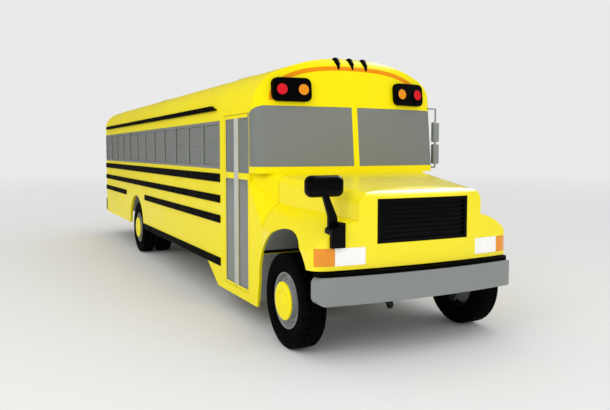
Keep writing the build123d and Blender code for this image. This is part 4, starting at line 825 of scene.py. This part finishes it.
def door_leaf(word, hinge_side):
    """One leaf; hinge_side is -1 where it hangs at its rear edge, 1 at its front edge."""
    node = "door_%s_leaf" % word
    low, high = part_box(node)
    hinge_x, free_x = (low.x, high.x) if hinge_side < 0 else (high.x, low.x)
    hinge_in = hinge_x - hinge_side * DOOR_RAIL
    free_in = free_x + hinge_side * DOOR_STILE
    pane_low, pane_high = min(hinge_in, free_in), max(hinge_in, free_in)
    grey_top = hinge_side > 0
    hinge_low, hinge_high = sorted((hinge_x, hinge_in))
    free_low, free_high = sorted((free_in, free_x))
    spans = [(hinge_low, hinge_high, low.z, CROSSBAR_HIGH_Z if grey_top else high.z),
             (free_low, free_high, low.z, high.z)]
    if grey_top:
        upper = bars("leaf_upper_stile", [(hinge_low, hinge_high, CROSSBAR_HIGH_Z, high.z)],
                     (-HALF, -HALF + DOOR_T), 1)
        fit(upper, node, sash.material, "black_plastic")
    spans += [(pane_low, pane_high, low.z, low.z + DOOR_RAIL),
              (pane_low, pane_high, CROSSBAR_LOW_Z, CROSSBAR_HIGH_Z),
              (pane_low, pane_high, high.z - DOOR_HEAD, high.z)]
    fit(bars("leaf_" + word, spans, (-HALF, -HALF + DOOR_T), 1), node, yellow.material,
        "yellow_paint", [node])
    panes, gaskets = [], []
    for z_low, z_high in ((low.z + DOOR_RAIL, CROSSBAR_LOW_Z), (CROSSBAR_HIGH_Z, high.z - DOOR_HEAD)):
        panes.append(block("pane", (pane_low - PANE_LAP, -HALF + DOOR_PANE_IN[0], z_low - PANE_LAP),
                           (pane_high + PANE_LAP, -HALF + DOOR_PANE_IN[1], z_high + PANE_LAP)))
        lap = DOOR_GASKET_LAP
        gaskets.append(ring_frame("gasket", (pane_low - lap, -HALF + DOOR_GASKET_IN[0], z_low - lap),
                                  (pane_high + lap, -HALF + DOOR_GASKET_IN[1], z_high + lap),
                                  DOOR_GASKET_RIM, 1))
    fit(join("leaf_panes_" + word, panes), node, glass.material, "glass")
    fit(join("leaf_gaskets_" + word, gaskets), node, sash.material, "black_plastic")
    strip_low, strip_high = sorted(free_x + hinge_side * edge for edge in DOOR_SEAL_EDGES)
    strip = block("leaf_seal_" + word, (strip_low, -HALF + DOOR_SEAL_IN[0], low.z + DOOR_RAIL),
                  (strip_high, -HALF + DOOR_SEAL_IN[1], high.z - DOOR_HEAD))
    fit(soften(strip, 0.004, 3), node, door_rubber.material, "black_plastic")
    pull_x = free_x + hinge_side * DOOR_PULL_FROM_EDGE
    pull = rod("pull", *((pull_x, -HALF + DOOR_PULL_IN, z) for z in DOOR_PULL_Z), DOOR_PULL_R)
    feet = [rod("foot", (pull_x, -HALF + DOOR_PULL_FOOT_IN, z), (pull_x, -HALF + DOOR_PULL_IN, z),
                DOOR_PULL_FOOT_R) for z in (DOOR_PULL_Z[0] + 0.02, DOOR_PULL_Z[1] - 0.02)]
    fit(join("leaf_pull_" + word, [pull, *feet]), node, bare_metal.material, "aluminium")


door_leaf("rear", -1)
door_leaf("front", 1)


# ---- Emergency door at the rear ----------------------------------------------------------------
door_low, door_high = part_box("emergency_door")
DOOR_OUT_X = door_high.x - 0.045
EMERGENCY_HALF = door_high.y
PANE_HALF = 0.360
GASKET_LAP, GASKET_RIM, GASKET_PROUD = 0.012, 0.026, 0.004
REAR_WINDOW = (0.520, 0.980)          # inner and outer edge
LOWER_PANE = (1.200, 1.560)
UPPER_PANE = (1.770, 2.356)
spans = [(-EMERGENCY_HALF, -PANE_HALF, door_low.z, door_high.z),
         (PANE_HALF, EMERGENCY_HALF, door_low.z, door_high.z),
         (-PANE_HALF, PANE_HALF, door_low.z, LOWER_PANE[0]),
         (-PANE_HALF, PANE_HALF, LOWER_PANE[1], UPPER_PANE[0]),
         (-PANE_HALF, PANE_HALF, UPPER_PANE[1], door_high.z)]
fit(bars("emergency_leaf", spans, (DOOR_OUT_X, door_high.x), 0), "emergency_door", yellow.material,
    "yellow_paint", ["emergency_door"])
panes, gaskets = [], []
for z_low, z_high in (LOWER_PANE, UPPER_PANE):
    panes.append(block("pane", (DOOR_OUT_X + 0.012, -PANE_HALF - PANE_LAP, z_low - PANE_LAP),
                       (DOOR_OUT_X + 0.022, PANE_HALF + PANE_LAP, z_high + PANE_LAP)))
    gaskets.append(ring_frame(
        "gasket", (DOOR_OUT_X - GASKET_PROUD, -PANE_HALF - GASKET_LAP, z_low - GASKET_LAP),
        (DOOR_OUT_X + 0.012, PANE_HALF + GASKET_LAP, z_high + GASKET_LAP), GASKET_RIM, 0))
fit(join("emergency_panes", panes), "emergency_door", glass.material, "glass")
fit(join("emergency_gaskets", gaskets), "emergency_door", seal.material, "black_plastic")
HANDLE_Y = EMERGENCY_HALF - 0.052
HANDLE_OUT_X = DOOR_OUT_X - 0.036
HANDLE_Z = (1.580, 1.740)
GRIP_R, STEM_R, ROSE_R = 0.011, 0.009, 0.020
grip = [rod("grip", *((HANDLE_OUT_X, HANDLE_Y, z) for z in HANDLE_Z), GRIP_R)]
for z in (HANDLE_Z[0] + 0.010, HANDLE_Z[1] - 0.010):
    grip.append(rod("stem", (HANDLE_OUT_X, HANDLE_Y, z), (DOOR_OUT_X, HANDLE_Y, z), STEM_R))
    grip.append(rod("rose", (DOOR_OUT_X - 0.004, HANDLE_Y, z), (DOOR_OUT_X, HANDLE_Y, z), ROSE_R))
fit(join("emergency_handle", grip), "emergency_door", bare_metal.material, "aluminium")
HINGE_Z = (1.180, 1.660, 2.330)
HINGE_HALF, HINGE_W, HINGE_T = 0.045, 0.075, 0.005
hinges = [block("hinge", (DOOR_OUT_X - HINGE_T, -EMERGENCY_HALF, z - HINGE_HALF),
                (DOOR_OUT_X, -EMERGENCY_HALF + HINGE_W, z + HINGE_HALF)) for z in HINGE_Z]
fit(soften(join("emergency_hinges", hinges), 0.002, 2), "emergency_door", yellow.material,
    "yellow_paint")

# gaskets round the fixed windows beside it
rear_gaskets = []
for side in (RIGHT, LEFT):
    y_low, y_high = sorted(side * edge for edge in REAR_WINDOW)
    rear_gaskets.append(ring_frame(
        "gasket", (DOOR_OUT_X - GASKET_PROUD, y_low - GASKET_LAP, WINDOW_LOW_Z - GASKET_LAP),
        (DOOR_OUT_X + 0.010, y_high + GASKET_LAP, WINDOW_HIGH_Z + GASKET_LAP), GASKET_RIM, 0))
fit(join("rear_window_gaskets", rear_gaskets), "bus", seal.material, "black_plastic")


# ---- Lamps: a bezel round every lens -----------------------------------------------------------
def bezel(name, centre, facing, radius, thickness):
    turn = Vector(facing).to_track_quat("Z", "Y").to_euler()
    bpy.ops.mesh.primitive_torus_add(location=centre, rotation=turn, major_radius=radius,
                                     minor_radius=thickness, major_segments=40, minor_segments=10)
    return smooth(settle(name), 60)


POD_Y, POD_Z, LAMP_PITCH, LAMP_R = 0.790, 2.680, 0.250, 0.062
BEZEL_T = 0.008
TAIL_LAMP_Y = 0.950
TAIL_LAMPS = ((1.330, 0.090), (1.545, 0.062))         # height and radius
lens_low, lens_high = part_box("amber_lamps")
bezels = []
for side in (RIGHT, LEFT):
    for offset in (-1, 1):
        y = side * (POD_Y + offset * LAMP_PITCH / 2)
        bow = (abs(y) - POD_Y + LAMP_PITCH / 2) * 0.13
        bezels.append(bezel("bezel", (lens_high.x - 0.016 - bow, y, POD_Z), (1, y * 0.16, 0.1),
                            LAMP_R + 0.002, BEZEL_T))
        bezels.append(bezel("bezel", (lens_low.x + 0.014, y, POD_Z), (-1, 0, 0), LAMP_R + 0.002,
                            BEZEL_T))
fit(join("pod_bezels", bezels), "bus", satin_black.material, "black_plastic")
tails = []
for z, radius in TAIL_LAMPS:
    for side in (RIGHT, LEFT):
        tails.append(bezel("bezel", (DOOR_OUT_X - 0.006, side * TAIL_LAMP_Y, z), (-1, 0, 0),
                           radius + 0.003, BEZEL_T))
fit(join("tail_bezels", tails), "bus", seal.material, "black_plastic")


# ---- Mirrors: glass in the rear faces ----------------------------------------------------------
mirror_low, mirror_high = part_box("mirrors")
MIRROR_HEADS = [(1.832, 2.085), (2.110, 2.362)]
faces = []
for z_low, z_high in MIRROR_HEADS:
    face = block("face", (mirror_low.x - 0.002, mirror_high.y - 0.078, z_low + 0.014),
                 (mirror_low.x + 0.004, mirror_high.y - 0.010, z_high - 0.014))
    faces.append(soften(face, 0.002, 2))
fit(join("mirror_faces", faces), "bus", mirror_glass.material, "glass")


# ---- Roof hatches ------------------------------------------------------------------------------
LID_CROWN = 0.010
LID_STEPS = [(0.050, 0.0), (0.014, LID_CROWN), (0.150, 0.0), (0.012, -0.006)]   # inset, step up
for node in ("front_hatch", "rear_hatch"):
    low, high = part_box(node)
    lid = block(node + "_lid", low, (high.x, high.y, high.z - LID_CROWN))
    pick_faces(lid, lambda centre, normal: normal.z > 0.9)
    for thickness, depth in LID_STEPS:
        inset(thickness, depth)
    done()
    fit(soften(lid, 0.004, 3), node, white_enamel.material, "white_paint", [node])


# ---- Stop arm: blank red octagon with a white border, its bracket and two lamps ----------------
arm_low, arm_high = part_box("stop_arm")
STOP_Y = (arm_low.y + arm_high.y) / 2
STOP_Z = 1.290
STOP_R = 0.228
STOP_X = arm_low.x + STOP_R
PIVOT_X = arm_high.x - 0.014
BLADE_T, BORDER_T, BORDER_W, BORDER_IN = 0.014, 0.018, 0.018, 0.006
PIN_HALF, PIN_R = 0.100, 0.014
STRAP_IN, STRAP_UP, STRAP_HALF, STRAP_HALF_T = 0.190, 0.060, 0.014, 0.006
STOP_LAMP_UP, STOP_LAMP_R, STOP_LAMP_HALF = 0.150, 0.038, 0.013


def octagon(name, across, thickness):
    bpy.ops.mesh.primitive_cylinder_add(vertices=8, radius=across / cos(pi / 8), depth=thickness,
                                        location=(STOP_X, STOP_Y, STOP_Z),
                                        rotation=(pi / 2, pi / 8, 0))
    return settle(name)


blade = soften(octagon("stop_blade", STOP_R, BLADE_T), 0.002, 2)
fit(blade, "stop_arm", sign_red.material, "red_paint", ["stop_arm"])
border = octagon("stop_border", STOP_R - BORDER_IN, BORDER_T)
pick_faces(border, lambda centre, normal: abs(normal.y) > 0.9)
inset(BORDER_W)
bpy.ops.mesh.bridge_edge_loops()
done()
fit(smooth(border), "stop_arm", white_enamel.material, "white_paint")
carrier = [rod("pin", (PIVOT_X, STOP_Y, STOP_Z - PIN_HALF), (PIVOT_X, STOP_Y, STOP_Z + PIN_HALF), PIN_R)]
for z in (STOP_Z - STRAP_UP, STOP_Z + STRAP_UP):
    carrier.append(soften(block("strap", (STOP_X + STRAP_IN, STOP_Y - STRAP_HALF_T, z - STRAP_HALF),
                                (PIVOT_X, STOP_Y + STRAP_HALF_T, z + STRAP_HALF)), 0.002, 2))
fit(join("stop_carrier", carrier), "stop_arm", satin_black.material, "black_plastic")
lamps = [rod("lamp", (STOP_X, STOP_Y - STOP_LAMP_HALF, STOP_Z + up),
             (STOP_X, STOP_Y + STOP_LAMP_HALF, STOP_Z + up), STOP_LAMP_R, 32)
         for up in (-STOP_LAMP_UP, STOP_LAMP_UP)]
fit(soften(join("stop_lamps", lamps), 0.004, 3), "stop_arm", lamp_red.material, "red_lens")


# ---- Seats -------------------------------------------------------------------------------------
def pad(name, low, high, seam=0.035, crown=0.010):
    """Cushion: a box whose faces swell inside a sewn seam."""
    piece = block(name, low, high)
    only(piece)
    bpy.ops.object.mode_set(mode="EDIT")
    bpy.ops.mesh.select_all(action="SELECT")
    bpy.ops.mesh.subdivide(number_cuts=2)
    bpy.ops.mesh.select_mode(type="FACE")
    done()
    for axis in range(3):
        for way in (-1, 1):
            pick_faces(piece, lambda centre, normal: normal[axis] * way > 0.9)
            inset(min(seam, min(high[i] - low[i] for i in range(3)) * 0.22), crown * 0.5)
            done()
    modify(piece, "SUBSURF", levels=2, render_levels=2)
    return smooth(piece, 60)


bench_low, bench_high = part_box("passenger_seats")
SEAT_ROWS, SEAT_PITCH = 12, 0.711
SEAT_BACK_T, CUSHION_L, CUSHION_H = 0.070, 0.400, 0.130
SEAT_Z, SEAT_W = 1.480, 0.915
LEG_IN, LEG_SIDE, LEG_R = 0.040, 0.070, 0.016
FOOT_HALF, FOOT_T = 0.025, 0.006
FLOOR_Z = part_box("floor")[1].z
wall_y = bench_high.y
first_x = bench_low.x
cushion = pad("bench_cushions", (first_x + SEAT_BACK_T, wall_y - SEAT_W, SEAT_Z - CUSHION_H),
              (first_x + SEAT_BACK_T + CUSHION_L, wall_y, SEAT_Z))
back = pad("bench_backs", (first_x, wall_y - SEAT_W, SEAT_Z - CUSHION_H),
           (first_x + SEAT_BACK_T, wall_y, bench_high.z))
legs = []
leg_y = wall_y - SEAT_W + LEG_SIDE
for leg_x in (first_x + SEAT_BACK_T + LEG_IN, first_x + SEAT_BACK_T + CUSHION_L - LEG_IN):
    legs.append(rod("leg", (leg_x, leg_y, FLOOR_Z), (leg_x, leg_y, SEAT_Z - CUSHION_H + 0.012), LEG_R))
legs.append(block("foot", (first_x + SEAT_BACK_T, leg_y - FOOT_HALF, FLOOR_Z),
                  (first_x + SEAT_BACK_T + CUSHION_L, leg_y + FOOT_HALF, FLOOR_Z + FOOT_T)))
legs = join("bench_legs", legs)
for name, piece, finish, slot in (("bench_cushions", cushion, vinyl, "seat_vinyl"),
                                  ("bench_backs", back, vinyl, "seat_vinyl"),
                                  ("bench_legs", legs, satin_black, "black_plastic")):
    row = [piece]
    for index in range(1, SEAT_ROWS):
        row.append(copy_of(piece, name, (index * SEAT_PITCH, 0, 0)))
    row += [copy_of(seat, name, mirror_y=True) for seat in row]
    benches = join(name, row)
    fit(benches, "bus", finish.material, slot, ["passenger_seats"] if name == "bench_cushions" else ())

seat_low, seat_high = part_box("driver_seat")
DRIVER_SEAT_Z = 1.550
DRIVER_BACK_T, DRIVER_CUSHION_H = 0.090, 0.110
PEDESTAL_R, PEDESTAL_TOP_R = 0.105, 0.075
seat_pad = pad("driver_cushion", (seat_low.x + DRIVER_BACK_T, seat_low.y, DRIVER_SEAT_Z - DRIVER_CUSHION_H),
               (seat_high.x, seat_high.y, DRIVER_SEAT_Z))
back_pad = pad("driver_back", (seat_low.x, seat_low.y + 0.010, DRIVER_SEAT_Z - DRIVER_CUSHION_H),
               (seat_low.x + DRIVER_BACK_T, seat_high.y - 0.010, seat_high.z))
for piece, taken in ((seat_pad, ["driver_seat"]), (back_pad, ())):
    fit(piece, "bus", vinyl.material, "seat_vinyl", taken)
seat_x, seat_y = seat_low.x + 0.300, (seat_low.y + seat_high.y) / 2
post = rod("driver_pedestal", (seat_x, seat_y, FLOOR_Z), (seat_x, seat_y, DRIVER_SEAT_Z - 0.100),
           PEDESTAL_R, 32, PEDESTAL_TOP_R)
fit(soften(post, 0.006, 2), "bus", satin_black.material, "black_plastic")
